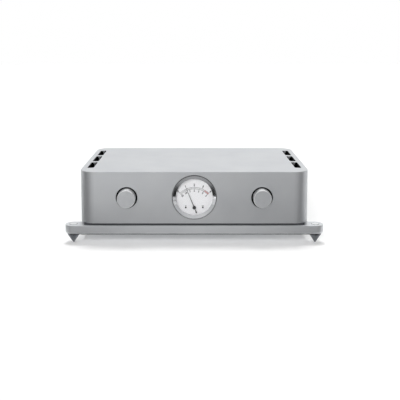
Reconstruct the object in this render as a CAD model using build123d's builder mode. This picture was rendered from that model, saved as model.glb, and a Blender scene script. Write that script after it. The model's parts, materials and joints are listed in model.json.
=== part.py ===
from build123d import *
from math import cos, radians, sin, tan
import os

# A preamplifier in its own frame: millimetres, +Z up, the front faces -Y.
# The origin is on the floor, under the middle of the whole object.

# The case
body_w = 430.0
body_d = 272.0
body_h = 98.0
corner_r = 28.0
top_t = 10.0
side_t = 8.0
front_t = 16.0
rear_t = 8.0
edge_break = 0.6
column_r = 8.0
column_hole_h = 14.0
cover_t = 3.0
rebate_w = 3.0
lug_w = 14.0
lug_d = 12.0
lug_h = 8.0
lug_x = 72.0

# The vents in the top
vent_w = 12.0
vent_web = 9.0
vent_front_gap = 40.0
vent_rear_gap = 34.0
vent_margin = 9.6
vent_corner_r = 3.9
vent_count = 3

# What the case stands on
plinth_h = 4.0
plinth_inset_front = 4.0
plinth_inset_side = 8.0
plinth_corner_r = 1.0
plinth_rim = 26.0
plate_t = 18.0
plate_overhang = 1.5
plate_edge_r = 5.5
ear_r = 15.0
ear_reach = 13.5
ear_fillet = 5.0
spike_h = 17.5
spike_r = 11.0
spike_rim_h = 2.2
spike_tip_r = 0.7
stud_r = 4.0
stud_len = 10.0
bush_head_r = 7.5
bush_head_t = 3.0
bush_r = 6.0
bush_roof_t = 2.0

# Fasteners
m6_r = 3.0
m6_head_r = 5.0
m6_head_h = 6.0
m6_head_sink = 1.0
m6_bite = 12.0
m3_r = 1.5
m3_head_r = 2.75
m3_head_h = 1.8
m3_bite = 6.0
m3_panel_bite = 4.0
m3_driver_r = 1.2
m3_driver_depth = 0.9

# The two front controls
knob_x = 126.4
knob_r = 17.0
knob_out = 13.0
knob_chamfer = 0.8
knob_hollow_r = 8.5
knob_hollow_gap = 1.0
recess_r = 20.0
recess_depth = 5.0
knob_back_gap = 1.2
web_t = 5.0
control_pocket_r = 19.0
shaft_r = 3.0
shaft_flat = 1.5
shaft_bite = 11.0
shaft_end_gap = 0.5
bush_thread_r = 4.5
bush_out = 2.6
nut_r = 7.0
nut_t = 2.0
rotor_r = 8.0
rotor_t = 2.0
rotor_room = 6.0
control_front_t = 2.0
selector_r = 16.5
selector_drum_len = 10.0
selector_len = 34.0
selector_pillar_r = 2.0
wafer_t = 1.6
wafer_first = 18.0
wafer_last = 30.4
volume_w = 34.0
volume_len = 38.0
volume_corner_r = 3.0
volume_floor_t = 3.0
terminal_count = 6
terminal_pitch = 5.0
terminal_len = 5.0
terminal_w = 1.6
terminal_t = 0.8

# The meter
meter_rise = 0.8
bezel_r = 41.0
bezel_in_r = 34.5
bezel_proud = 0.8
bezel_lip = 0.7
bezel_sink = 1.4
bezel_land = 0.6
bezel_groove = 0.6
glass_r = 36.0
glass_t = 1.6
glass_gap = 4.4
retainer_in_r = 34.8
dial_t = 0.8
dial_hole_r = 2.6
dial_screw_x = 16.0
dial_screw_head_r = 1.6
dial_screw_head_t = 0.7
dial_screw_r = 0.9
cup_wall = 1.5
cup_flange_t = 2.2
cup_depth = 26.0
cup_terminal_x = 10.0
cup_terminal_r = 2.0
cup_terminal_len = 8.0
clamp_ring_w = 4.9
clamp_ring_t = 4.0
clamp_notch_r = 2.5
clamp_notch_count = 6
hub_r = 3.2
hub_t = 1.7
needle_len = 39.0
needle_tail = 11.0
needle_root_w = 1.5
needle_tip_w = 0.7
needle_t = 0.5
needle_lift = 1.7
needle_weight_r = 1.4
needle_rest_deg = 22.5
staff_r = 0.6
post_r = 2.2
bridge_gap = 2.2
bridge_t = 1.2
bridge_w = 8.0
bridge_to_yoke = 3.6
leg_w = 4.0
yoke_w = 24.0
yoke_t = 12.0
yoke_r = 10.0
yoke_gap = 0.5
yoke_above = 20.0
yoke_wall = 2.0
pole_r = 8.0
core_r = 5.0
core_inset = 1.0
core_tab_w = 4.0
core_tab_top = 7.7
coil_out_r = 7.0
coil_in_r = 5.8
coil_w = 3.0
coil_end_t = 1.0
coil_overhang = 1.4
magnet_w = 14.0
magnet_h = 8.0
rear_bar_gap = 2.6
rear_bar_t = 2.0
spring_turn_count = 3
spring_pitch = 0.9
spring_start_r = 1.6
spring_t = 0.2
spring_w = 0.5
spring_gap = 0.8
spring_stud_r = 0.5
collet_r = 1.3

# The rear panel and its connectors
panel_side_margin = 31.0
panel_edge_margin = 7.0
panel_t = 3.0
panel_corner_r = 3.0
window_rim = 10.0
panel_screw_inset = 6.0
panel_screw_x = 60.0
socket_column_count = 6
socket_row_pitch = 30.0
ground_to_socket = 30.0
socket_to_xlr = 48.0
socket_flange_r = 6.0
socket_flange_t = 3.0
socket_barrel_r = 4.15
socket_bore_r = 3.3
socket_thread_r = 4.5
socket_inside = 8.0
socket_nut_r = 6.5
socket_nut_t = 2.5
contact_r = 1.6
contact_hole_r = 1.1
contact_recess = 1.0
contact_hole_depth = 8.0
contact_tail = 4.0
xlr_to_edge = 56.0
xlr_pitch = 38.0
xlr_flange_w = 26.0
xlr_flange_h = 31.0
xlr_flange_t = 2.5
xlr_corner_r = 3.0
xlr_shell_r = 11.5
xlr_cavity_r = 9.5
xlr_inside = 19.0
xlr_insert_t = 6.0
xlr_insert_from = 16.0
xlr_pin_r = 1.2
xlr_pin_circle_r = 4.5
xlr_pin_recess = 2.0
xlr_pin_tail = 6.0
xlr_screw_x = 9.5
xlr_screw_z = 12.0
inlet_to_edge = 34.0
inlet_flange_w = 52.0
inlet_flange_h = 36.0
inlet_flange_t = 2.5
inlet_corner_r = 3.0
inlet_screw_x = 20.0
inlet_w = 28.0
inlet_h = 31.0
inlet_inside = 26.0
plug_w = 22.6
plug_h = 15.6
plug_depth = 17.0
plug_corner = 4.0
plug_rise = 4.5
blade_x = 7.0
blade_z = 2.0
blade_w = 4.0
blade_t = 2.0
blade_len = 13.5
blade_tail = 6.0
drawer_w = 23.0
drawer_h = 7.4
drawer_len = 21.0
drawer_drop = 9.5
drawer_lip_t = 1.6
drawer_lip_over = 0.8
fuse_r = 2.5
fuse_len = 20.0
fuse_from_end = 4.5
inlet_to_switch = 46.0
switch_w = 15.0
switch_h = 21.0
switch_flange_t = 1.6
switch_inside = 14.0
switch_body_w = 13.0
switch_body_h = 19.0
switch_floor_t = 2.0
rocker_w = 10.0
rocker_r = 7.9
rocker_face = 4.0
rocker_back = 3.0
rocker_sink = 2.4
rocker_throw_deg = 20.0
rocker_pin_r = 1.2
rocker_pin_len = 1.2
switch_to_ground = 34.0
ground_drop = 15.0
ground_post_r = 2.0
ground_post_len = 12.0
ground_inside = 8.0
ground_flange_r = 5.0
ground_flange_t = 1.5
ground_inner_nut_t = 2.5
ground_nut_r = 5.5
ground_nut_t = 6.0
ground_nut_gap = 1.0
ground_groove_count = 16

# What is inside the case
board_t = 1.6
board_side_gap = 22.0
board_front_gap = 50.0
board_rear_gap = 30.0
board_toroid_gap = 25.0
board_lift = 8.0
board_hole_inset = 6.0
pillar_r = 3.0
toroid_side_gap = 21.0
toroid_shift_y = 4.0
toroid_out_r = 50.0
toroid_in_r = 18.0
toroid_h = 40.0
toroid_round = 8.0
pad_t = 2.0
lower_pad_r = 45.0
clamp_r = 30.0
clamp_t = 2.5
toroid_bolt_head_h = 3.0
toroid_nut_r = 5.5
toroid_nut_h = 5.0
toroid_bolt_over = 3.0
reservoir_r = 15.0
reservoir_h = 42.0
reservoir_pitch = 36.0
reservoir_count = 4
reservoir_inset = 21.0
reservoir_round = 1.5
sink_inset = 63.0
sink_w = 26.0
sink_len = 60.0
sink_h = 34.0
sink_base_t = 4.0
fin_count = 7
sink_pitch = 76.0
fin_t = 1.6
module_inset = 121.0
module_w = 44.0
module_d = 30.0
module_h = 15.0
module_pitch_x = 58.0
module_pitch_y = 46.0
io_board_h = 58.0
io_board_margin = 12.0
lead_r = 2.4
lead_bend_r = 14.0
lead_small_bend_r = 8.0
meter_lead_r = 1.0
meter_lead_bend_r = 9.0
ribbon_w = 28.0
ribbon_t = 1.2

# Clearances: a round part in its seat, edges side by side, a shaft in its bearing
fit_gap = 0.1
edge_gap = 0.3
shaft_gap = 0.05

# Levels and faces worked out from the sizes above
plate_z = spike_h
plinth_z = plate_z + plate_t
body_z = plinth_z + plinth_h
floor_z = body_z + cover_t
roof_z = body_z + body_h - top_t
mid_z = body_z + body_h / 2
front_y = -body_d / 2
rear_y = body_d / 2
inner_front_y = front_y + front_t
inner_rear_y = rear_y - rear_t
inner_side_x = body_w / 2 - side_t
inner_w = 2 * inner_side_x
inner_d = inner_rear_y - inner_front_y
inner_y = (inner_rear_y + inner_front_y) / 2
inner_r = corner_r - side_t
reach_y = rear_y + knob_out
plate_w = body_w
plate_d = body_d + 2 * plate_overhang
spike_x = plate_w / 2 + ear_reach
spike_y = plate_d / 2 - ear_r
both = (-1, 1)
corners = [(-1, -1), (1, -1), (-1, 1), (1, 1)]

# The vents, the bolt columns beyond both ends of them, and the lugs for the bottom sheet
vent_x = body_w / 2 - vent_margin - vent_w / 2
vent_row_len = body_d - vent_front_gap - vent_rear_gap
vent_len = (vent_row_len - (vent_count - 1) * vent_web) / vent_count
vent_y = [front_y + vent_front_gap + vent_len / 2 + i * (vent_len + vent_web) for i in range(vent_count)]
column_x = inner_side_x - column_r
column_front_y = (inner_front_y + vent_y[0] - vent_len / 2) / 2
column_rear_y = (inner_rear_y + vent_y[-1] + vent_len / 2) / 2
columns = [(side * column_x, y) for side in both for y in (column_front_y, column_rear_y)]
end_lugs = [(side * lug_x, inner_front_y + lug_d / 2) for side in both]
end_lugs += [(side * lug_x, inner_rear_y - lug_d / 2) for side in both]
side_lugs = [(side * (inner_side_x - lug_d / 2), inner_y) for side in both]

# The controls, from the knob's face inwards
web_y = front_y + recess_depth + web_t
knob_face_y = front_y - knob_out
knob_back_y = front_y + recess_depth - knob_back_gap
shaft_end_y = knob_back_y - shaft_bite
bush_end_y = front_y + recess_depth - bush_out
hollow_y = bush_end_y - knob_hollow_gap
rotor_y = web_y + control_front_t + (rotor_room - rotor_t) / 2
selector_end_y = web_y + selector_len
volume_end_y = web_y + volume_len

# The meter, from the ring inwards
meter_z = mid_z + meter_rise
clamp_ring_r = roof_z - meter_z - edge_gap
cup_r = clamp_ring_r - clamp_ring_w
hub_z = meter_z - (cup_r - cup_wall - yoke_gap - yoke_r)
glass_y = front_y + bezel_sink + bezel_land
glass_back_y = glass_y + glass_t
dial_y = glass_back_y + glass_gap
cup_y = dial_y + dial_t
cup_seat_y = cup_y + cup_flange_t
cup_back_y = cup_y + cup_depth
needle_y = dial_y - needle_lift
bridge_y = cup_y + bridge_gap
bridge_back_y = bridge_y + bridge_t
yoke_y = bridge_y + bridge_t + bridge_to_yoke
yoke_back_y = yoke_y + yoke_t
coil_front_y = yoke_y - coil_overhang
coil_rear_y = yoke_back_y + coil_overhang
spring_y = bridge_back_y + spring_gap
rear_bar_y = yoke_back_y + rear_bar_gap
leg_x = yoke_w / 2 - leg_w / 2

# The rear panel, with its connectors placed from its ends inwards
panel_y = rear_y - panel_t
panel_w = body_w - 2 * panel_side_margin
panel_h = body_h - 2 * panel_edge_margin
inlet_x = inlet_to_edge - panel_w / 2
switch_x = inlet_x + inlet_to_switch
ground_x = switch_x + switch_to_ground
xlr_x = panel_w / 2 - xlr_to_edge
socket_first_x = ground_x + ground_to_socket
socket_column_pitch = (xlr_x - socket_to_xlr - socket_first_x) / (socket_column_count - 1)
sockets_x = [socket_first_x + i * socket_column_pitch for i in range(socket_column_count)]
upper_row_z = mid_z + socket_row_pitch / 2
lower_row_z = mid_z - socket_row_pitch / 2
sockets = [(x, z) for z in (upper_row_z, lower_row_z) for x in sockets_x]
xlrs_z = [mid_z + side * xlr_pitch / 2 for side in both]
rim_screws = [
    (x, mid_z + side * (panel_h / 2 - panel_screw_inset))
    for side in both
    for x in (panel_screw_inset - panel_w / 2, -panel_screw_x, panel_screw_x,
              panel_w / 2 - panel_screw_inset)
]
xlr_screws = [(xlr_x + side * xlr_screw_x, z + side * xlr_screw_z) for z in xlrs_z for side in both]
inlet_screws = [(inlet_x + side * inlet_screw_x, mid_z) for side in both]
inlet_face_y = rear_y + inlet_flange_t
inlet_tag_y = rear_y - inlet_inside - blade_tail
plug_z = mid_z + plug_rise
blade_spots = [
    (inlet_x - blade_x, plug_z - blade_z),
    (inlet_x, plug_z + blade_z),
    (inlet_x + blade_x, plug_z - blade_z),
]
drawer_z = mid_z - drawer_drop
rocker_y = rear_y - rocker_sink
ground_z = mid_z - ground_drop

# The transformer at the left side, and the main board between it and the right side
toroid_x = toroid_side_gap + toroid_out_r - inner_side_x
toroid_y = inner_y + toroid_shift_y
board_left_x = toroid_x + toroid_out_r + board_toroid_gap
board_w = inner_side_x - board_side_gap - board_left_x
board_x = board_left_x + board_w / 2
board_d = inner_d - board_front_gap - board_rear_gap
board_y = inner_front_y + board_front_gap + board_d / 2
reservoir_x = board_left_x + reservoir_inset
sink_x = board_left_x + sink_inset
module_x = board_left_x + module_inset
board_z = floor_z + board_lift
board_top_z = board_z + board_t
pillars = [
    (board_x + i * (board_w / 2 - board_hole_inset), board_y + j * (board_d / 2 - board_hole_inset))
    for i in (-1, 0, 1)
    for j in both
]
toroid_z = floor_z + pad_t
toroid_top_z = toroid_z + toroid_h
clamp_z = toroid_top_z + pad_t


def save(piece, name):
    """Label the finished piece and write its file."""
    piece.part.label = name
    export_step(piece.part, f"parts/{name}.step")


def facing(y, x=0.0, z=0.0):
    """A plane seen from the front, with X to the right and Z up; a negative amount goes rearwards."""
    return Plane(origin=(x, y, z), x_dir=(1, 0, 0), z_dir=(0, -1, 0))


def level(z, x=0.0, y=0.0):
    """A level plane at a height, facing up."""
    return Plane(origin=(x, y, z), x_dir=(1, 0, 0), z_dir=(0, 0, 1))


def bar_y(x, z, y_from, y_to, r, mode=Mode.ADD):
    """A round bar, or a hole, along Y."""
    with BuildSketch(facing(y_from, x, z)) as section:
        Circle(r)
    extrude(section.sketch, amount=y_from - y_to, mode=mode)


def bar_z(x, y, z_from, z_to, r, mode=Mode.ADD):
    """A round bar, or a hole, along Z."""
    with BuildSketch(level(z_from, x, y)) as section:
        Circle(r)
    extrude(section.sketch, amount=z_to - z_from, mode=mode)


def nut_y(x, z, y_from, y_to, r, hole_r):
    """A hexagon nut along Y, r to its corners."""
    with BuildSketch(facing(y_from, x, z)) as section:
        RegularPolygon(r, 6)
        Circle(hole_r, mode=Mode.SUBTRACT)
    extrude(section.sketch, amount=y_from - y_to)


def block(x, y, z, w, d, h, mode=Mode.ADD):
    """A block with its base centred on x, y and standing on z."""
    with BuildSketch(level(z, x, y)) as section:
        Rectangle(w, d)
    extrude(section.sketch, amount=h, mode=mode)


def slab_y(x, z, y_from, y_to, w, h, r=0.0, mode=Mode.ADD):
    """An upright slab seen from the front, w by h, with rounded corners where r is given."""
    with BuildSketch(facing(y_from, x, z)) as section:
        if r > 0:
            RectangleRounded(w, h, r)
        else:
            Rectangle(w, h)
    extrude(section.sketch, amount=y_from - y_to, mode=mode)


# The case

def make_housing():
    """The case: top, front, sides and a framed rear in one piece, open below."""
    with BuildPart() as housing:
        with BuildSketch(level(body_z)):
            RectangleRounded(body_w, body_d, corner_r)
        extrude(amount=body_h)
        chamfer(housing.faces().sort_by(Axis.Z)[-1].edges(), edge_break)
        with BuildSketch(level(body_z, 0, inner_y)):
            RectangleRounded(inner_w, inner_d, inner_r)
        extrude(amount=body_h - top_t, mode=Mode.SUBTRACT)
        with BuildSketch(level(body_z, 0, inner_y)):
            RectangleRounded(inner_w + 2 * rebate_w, inner_d + 2 * rebate_w, inner_r + rebate_w)
        extrude(amount=cover_t, mode=Mode.SUBTRACT)
        add_columns_and_lugs()
        cut_vents()
        cut_front()
        cut_rear()
        top_face = housing.faces().sort_by(Axis.Z)[-1]
        chamfer([edge for wire in top_face.inner_wires() for edge in wire.edges()], edge_break)
        front_face = housing.faces().sort_by(Axis.Y)[0]
        chamfer([edge for wire in front_face.inner_wires() for edge in wire.edges()], edge_break / 2)
    save(housing, "housing")


def add_columns_and_lugs():
    """Round columns for the bolts beside the vents, and low lugs for the bottom sheet's screws."""
    for x, y in columns:
        bar_z(x, y, floor_z, roof_z, column_r)
        bar_z(x, y, floor_z, floor_z + column_hole_h, m6_r + shaft_gap, Mode.SUBTRACT)
    for x, y in end_lugs:
        block(x, y, floor_z, lug_w, lug_d, lug_h)
    for x, y in side_lugs:
        block(x, y, floor_z, lug_d, lug_w, lug_h)
    for x, y in end_lugs + side_lugs:
        bar_z(x, y, floor_z, floor_z + m3_bite, m3_r + shaft_gap, Mode.SUBTRACT)


def cut_vents():
    """Slots in line along each side of the top."""
    with BuildSketch(level(roof_z)) as slots:
        with Locations(*[(side * vent_x, y) for side in both for y in vent_y]):
            RectangleRounded(vent_w, vent_len, vent_corner_r)
    extrude(slots.sketch, amount=top_t, mode=Mode.SUBTRACT)


def cut_front():
    """The round recesses and shaft holes of the controls, and the meter's stepped bore."""
    for side in both:
        x = side * knob_x
        bar_y(x, mid_z, front_y, front_y + recess_depth, recess_r, Mode.SUBTRACT)
        bar_y(x, mid_z, front_y, inner_front_y, bush_thread_r + fit_gap, Mode.SUBTRACT)
        bar_y(x, mid_z, web_y, inner_front_y, control_pocket_r, Mode.SUBTRACT)
    bar_y(0, meter_z, front_y, cup_seat_y, bezel_r + bezel_groove, Mode.SUBTRACT)
    bar_y(0, meter_z, front_y, inner_front_y, cup_r + fit_gap, Mode.SUBTRACT)


def cut_rear():
    """The window for the connectors, with a rim sunk so that the panel lies flush."""
    rim_w = panel_w + 2 * edge_gap
    rim_h = panel_h + 2 * edge_gap
    slab_y(0, mid_z, panel_y, rear_y, rim_w, rim_h, panel_corner_r + edge_gap, Mode.SUBTRACT)
    slab_y(0, mid_z, inner_rear_y, rear_y, panel_w - 2 * window_rim, panel_h - 2 * window_rim,
           panel_corner_r, Mode.SUBTRACT)
    for x, z in rim_screws:
        bar_y(x, z, panel_y - m3_panel_bite, panel_y, m3_r + shaft_gap, Mode.SUBTRACT)


def make_bottom_cover():
    """The sheet that closes the case from below and carries the transformer and the board."""
    w = inner_w + 2 * (rebate_w - edge_gap)
    d = inner_d + 2 * (rebate_w - edge_gap)
    with BuildPart() as cover:
        with BuildSketch(level(body_z, 0, inner_y)):
            RectangleRounded(w, d, inner_r + rebate_w - edge_gap)
        extrude(amount=cover_t)
        for x, y in columns + [(toroid_x, toroid_y)]:
            bar_z(x, y, body_z, floor_z, m6_r + fit_gap, Mode.SUBTRACT)
        for x, y in end_lugs + side_lugs + pillars:
            bar_z(x, y, body_z, floor_z, m3_r + fit_gap, Mode.SUBTRACT)
        for x, y in end_lugs + side_lugs:
            bar_z(x, y, body_z, body_z + m3_head_h, m3_head_r + fit_gap, Mode.SUBTRACT)
    save(cover, "bottom_cover")


def make_cover_screws():
    """Low-headed screws, flush in the bottom sheet, that go up into the case's lugs."""
    with BuildPart() as screws:
        for x, y in end_lugs + side_lugs:
            bar_z(x, y, body_z, body_z + m3_head_h, m3_head_r)
            bar_z(x, y, body_z + m3_head_h, floor_z + m3_bite - edge_gap, m3_r)
            bar_z(x, y, body_z, body_z + m3_driver_depth, m3_driver_r, Mode.SUBTRACT)
    save(screws, "cover_screws")


# What the case stands on

def make_plinth():
    """The dark frame that leaves a shadow gap between the case and the plate."""
    w = body_w - 2 * plinth_inset_side
    d = body_d - 2 * plinth_inset_front
    with BuildPart() as plinth:
        with BuildSketch(level(plinth_z)):
            RectangleRounded(w, d, plinth_corner_r)
            RectangleRounded(w - 2 * plinth_rim, d - 2 * plinth_rim, plinth_rim / 2, mode=Mode.SUBTRACT)
        extrude(amount=plinth_h)
        for x, y in columns:
            bar_z(x, y, plinth_z, body_z, m6_r + fit_gap, Mode.SUBTRACT)
    save(plinth, "plinth")


def make_base_plate():
    """The thick plate with a round ear at each corner, its lower edge rounded."""
    with BuildPart() as plate:
        with BuildSketch(level(plate_z)) as outline:
            Rectangle(plate_w, plate_d)
            with Locations((0, spike_y), (0, -spike_y)):
                Rectangle(2 * spike_x, 2 * ear_r)
            with Locations(*[(i * spike_x, j * spike_y) for i, j in corners]):
                Circle(ear_r)
            roots = outline.vertices().filter_by(
                lambda v: abs(abs(v.X) - plate_w / 2) < edge_gap and abs(v.Y) < spike_y
            )
            fillet(roots, ear_fillet)
        extrude(amount=plate_t)
        fillet(plate.faces().sort_by(Axis.Z)[0].edges(), plate_edge_r)
        chamfer(plate.faces().sort_by(Axis.Z)[-1].edges(), edge_break)
        for i, j in corners:
            x, y = i * spike_x, j * spike_y
            bar_z(x, y, plate_z, plinth_z, bush_r + fit_gap, Mode.SUBTRACT)
            bar_z(x, y, plinth_z - bush_head_t, plinth_z, bush_head_r + fit_gap, Mode.SUBTRACT)
        seats = plate.edges().filter_by(
            lambda e: e.geom_type == GeomType.CIRCLE
            and abs(e.radius - bush_head_r - fit_gap) < fit_gap / 2
            and abs(e.center().Z - plinth_z) < fit_gap
        )
        chamfer(seats, edge_break)
        for x, y in columns:
            bar_z(x, y, plate_z, plinth_z, m6_r + fit_gap, Mode.SUBTRACT)
            bar_z(x, y, plate_z, plate_z + m6_head_h + m6_head_sink, m6_head_r + fit_gap, Mode.SUBTRACT)
    save(plate, "base_plate")


def make_spike_bushes():
    """Threaded bushes let into the ears from above; their flat heads show as discs."""
    with BuildPart() as bushes:
        for i, j in corners:
            x, y = i * spike_x, j * spike_y
            bar_z(x, y, plate_z, plinth_z - bush_head_t, bush_r)
            bar_z(x, y, plinth_z - bush_head_t, plinth_z, bush_head_r)
            bar_z(x, y, plate_z, plinth_z - bush_roof_t, stud_r + shaft_gap, Mode.SUBTRACT)
        chamfer(bushes.edges().group_by(Axis.Z)[-1], edge_break)
    save(bushes, "spike_bushes")


def make_spike(i, j, name):
    """A turned cone with a short rim and a stud that screws up into the bush."""
    x = i * spike_x
    with BuildPart() as spike:
        with BuildSketch(Plane.XZ.offset(-j * spike_y)):
            with BuildLine():
                Polyline(
                    (x, 0),
                    (x + spike_tip_r, 0),
                    (x + spike_r, spike_h - spike_rim_h),
                    (x + spike_r, spike_h),
                    (x + stud_r, spike_h),
                    (x + stud_r, spike_h + stud_len),
                    (x, spike_h + stud_len),
                    close=True,
                )
            make_face()
        revolve(axis=Axis((x, j * spike_y, 0), (0, 0, 1)))
    save(spike, name)


def make_base_bolts():
    """Socket bolts that go up through the plate, the plinth and the sheet into the case."""
    head_z = plate_z + m6_head_sink
    with BuildPart() as bolts:
        for x, y in columns:
            bar_z(x, y, head_z, head_z + m6_head_h, m6_head_r)
            bar_z(x, y, head_z + m6_head_h, floor_z + m6_bite, m6_r)
            with BuildSketch(level(head_z, x, y)) as driver:
                RegularPolygon(m6_r - edge_gap, 6)
            extrude(driver.sketch, amount=m6_head_h / 2, mode=Mode.SUBTRACT)
    save(bolts, "base_bolts")


# The two front controls

def make_knob(x, name):
    """A turned knob with a broken edge, hollow behind to clear the nut, and a D-shaped bore."""
    with BuildPart() as knob:
        bar_y(x, mid_z, knob_face_y, knob_back_y, knob_r)
        chamfer(knob.faces().sort_by(Axis.Y)[0].edges(), knob_chamfer)
        bar_y(x, mid_z, hollow_y, knob_back_y, knob_hollow_r, Mode.SUBTRACT)
        bore_y = shaft_end_y - shaft_end_gap
        with BuildSketch(facing(bore_y, x, mid_z)) as bore:
            Circle(shaft_r + shaft_gap)
            with Locations((0, 2 * shaft_r - shaft_flat + shaft_gap)):
                Rectangle(3 * shaft_r, 2 * shaft_r, mode=Mode.SUBTRACT)
        extrude(bore.sketch, amount=bore_y - hollow_y, mode=Mode.SUBTRACT)
    save(knob, name)


def make_shaft(x, y_inside, name):
    """The steel shaft, with a flat in the knob and a rotor disc inside the control."""
    flat_z = mid_z + 2 * shaft_r - shaft_flat
    with BuildPart() as shaft:
        bar_y(x, mid_z, shaft_end_y, y_inside, shaft_r)
        slab_y(x, flat_z, shaft_end_y, hollow_y, 3 * shaft_r, 2 * shaft_r, 0.0, Mode.SUBTRACT)
        bar_y(x, mid_z, rotor_y, rotor_y + rotor_t, rotor_r)
    save(shaft, name)


def cut_bearing(x, end_y):
    """The shaft's bearing bore through a control, and the room for its rotor."""
    room_y = web_y + control_front_t
    bar_y(x, mid_z, bush_end_y, end_y, shaft_r + shaft_gap, Mode.SUBTRACT)
    bar_y(x, mid_z, room_y, room_y + rotor_room, rotor_r + edge_gap, Mode.SUBTRACT)


def make_selector_switch():
    """A rotary switch: a round detent drum behind its bush, then contact wafers on two pillars."""
    x = -knob_x
    drum_end_y = web_y + selector_drum_len
    with BuildPart() as switch:
        bar_y(x, mid_z, bush_end_y, web_y, bush_thread_r)
        bar_y(x, mid_z, web_y, drum_end_y, selector_r)
        for side in both:
            z = mid_z + side * (selector_r - selector_pillar_r - wafer_t)
            bar_y(x, z, drum_end_y, selector_end_y, selector_pillar_r)
        for y in (web_y + wafer_first, web_y + wafer_last):
            bar_y(x, mid_z, y, y + wafer_t, selector_r)
        cut_bearing(x, selector_end_y)
    save(switch, "selector_switch")


def make_volume_control():
    """A stepped attenuator: a square can behind its bush, with a row of terminals on the back."""
    x = knob_x
    with BuildPart() as control:
        bar_y(x, mid_z, bush_end_y, web_y, bush_thread_r)
        bar_y(x, mid_z, web_y, inner_front_y, volume_w / 2)
        slab_y(x, mid_z, inner_front_y, volume_end_y, volume_w, volume_w, volume_corner_r)
        for i in range(terminal_count):
            terminal_x = x + (i - (terminal_count - 1) / 2) * terminal_pitch
            slab_y(terminal_x, mid_z - volume_w / 4, volume_end_y, volume_end_y + terminal_len,
                   terminal_w, terminal_t)
        cut_bearing(x, volume_end_y - volume_floor_t)
    save(control, "volume_control")


def make_control_nuts():
    """The hexagon nuts that clamp both controls from the front, hidden behind the knobs."""
    seat_y = front_y + recess_depth
    with BuildPart() as nuts:
        for side in both:
            nut_y(side * knob_x, mid_z, seat_y - nut_t, seat_y, nut_r, bush_thread_r + fit_gap)
    save(nuts, "control_nuts")


# The meter

def make_meter_bezel():
    """The polished ring: a lip, a shallow cone inwards to the glass, and a skirt down the bore."""
    with BuildPart() as bezel:
        with BuildSketch(Plane.YZ):
            with BuildLine():
                Polyline(
                    (front_y - bezel_proud, meter_z + bezel_r),
                    (front_y - bezel_proud, meter_z + bezel_r - bezel_lip),
                    (front_y + bezel_sink, meter_z + bezel_in_r),
                    (glass_y, meter_z + bezel_in_r),
                    (glass_y, meter_z + glass_r + fit_gap),
                    (cup_y, meter_z + glass_r + fit_gap),
                    (cup_y, meter_z + bezel_r),
                    close=True,
                )
            make_face()
        revolve(axis=Axis((0, 0, meter_z), (0, 1, 0)))
    save(bezel, "meter_bezel")


def make_meter_glass():
    """The flat glass, seated behind the ring's inner edge."""
    with BuildPart() as glass:
        bar_y(0, meter_z, glass_y, glass_back_y, glass_r)
    save(glass, "meter_glass")


def make_glass_retainer():
    """The thin tube that holds the glass off the dial."""
    with BuildPart() as retainer:
        bar_y(0, meter_z, glass_back_y, dial_y, glass_r)
        bar_y(0, meter_z, glass_back_y, dial_y, retainer_in_r, Mode.SUBTRACT)
    save(retainer, "glass_retainer")


def make_meter_dial():
    """The dial plate, with a hole for the staff and two for its screws."""
    with BuildPart() as dial:
        bar_y(0, meter_z, dial_y, cup_y, glass_r)
        bar_y(0, hub_z, dial_y, cup_y, dial_hole_r, Mode.SUBTRACT)
        for side in both:
            bar_y(side * dial_screw_x, hub_z, dial_y, cup_y, dial_screw_r + fit_gap, Mode.SUBTRACT)
    save(dial, "meter_dial")


def make_dial_screws():
    """Two small slotted screws that hold the dial to the bridge's posts."""
    head_y = dial_y - dial_screw_head_t
    with BuildPart() as screws:
        for side in both:
            x = side * dial_screw_x
            bar_y(x, hub_z, head_y, dial_y, dial_screw_head_r)
            bar_y(x, hub_z, dial_y, bridge_y - edge_gap, dial_screw_r)
            slab_y(x, hub_z, head_y, head_y + dial_screw_head_t / 2, 2 * dial_screw_head_r,
                   dial_screw_r / 2, 0.0, Mode.SUBTRACT)
    save(screws, "dial_screws")


def make_meter_case():
    """The steel cup behind the dial, its flange gripped between the ring and the case."""
    with BuildPart() as cup:
        bar_y(0, meter_z, cup_y, cup_seat_y, bezel_r)
        bar_y(0, meter_z, cup_y, cup_back_y, cup_r)
        bar_y(0, meter_z, cup_y, cup_back_y - cup_wall, cup_r - cup_wall, Mode.SUBTRACT)
        for side in both:
            bar_y(side * cup_terminal_x, meter_z, cup_back_y, cup_back_y + cup_terminal_len,
                  cup_terminal_r)
    save(cup, "meter_case")


def make_meter_clamp_ring():
    """The notched ring that pulls the meter's cup back against the case."""
    end_y = inner_front_y + clamp_ring_t
    with BuildPart() as ring:
        bar_y(0, meter_z, inner_front_y, end_y, clamp_ring_r)
        bar_y(0, meter_z, inner_front_y, end_y, cup_r + fit_gap, Mode.SUBTRACT)
        for i in range(clamp_notch_count):
            turn = radians(i * 360 / clamp_notch_count)
            x = clamp_ring_r * cos(turn)
            z = meter_z + clamp_ring_r * sin(turn)
            bar_y(x, z, inner_front_y, end_y, clamp_notch_r, Mode.SUBTRACT)
    save(ring, "meter_clamp_ring")


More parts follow.
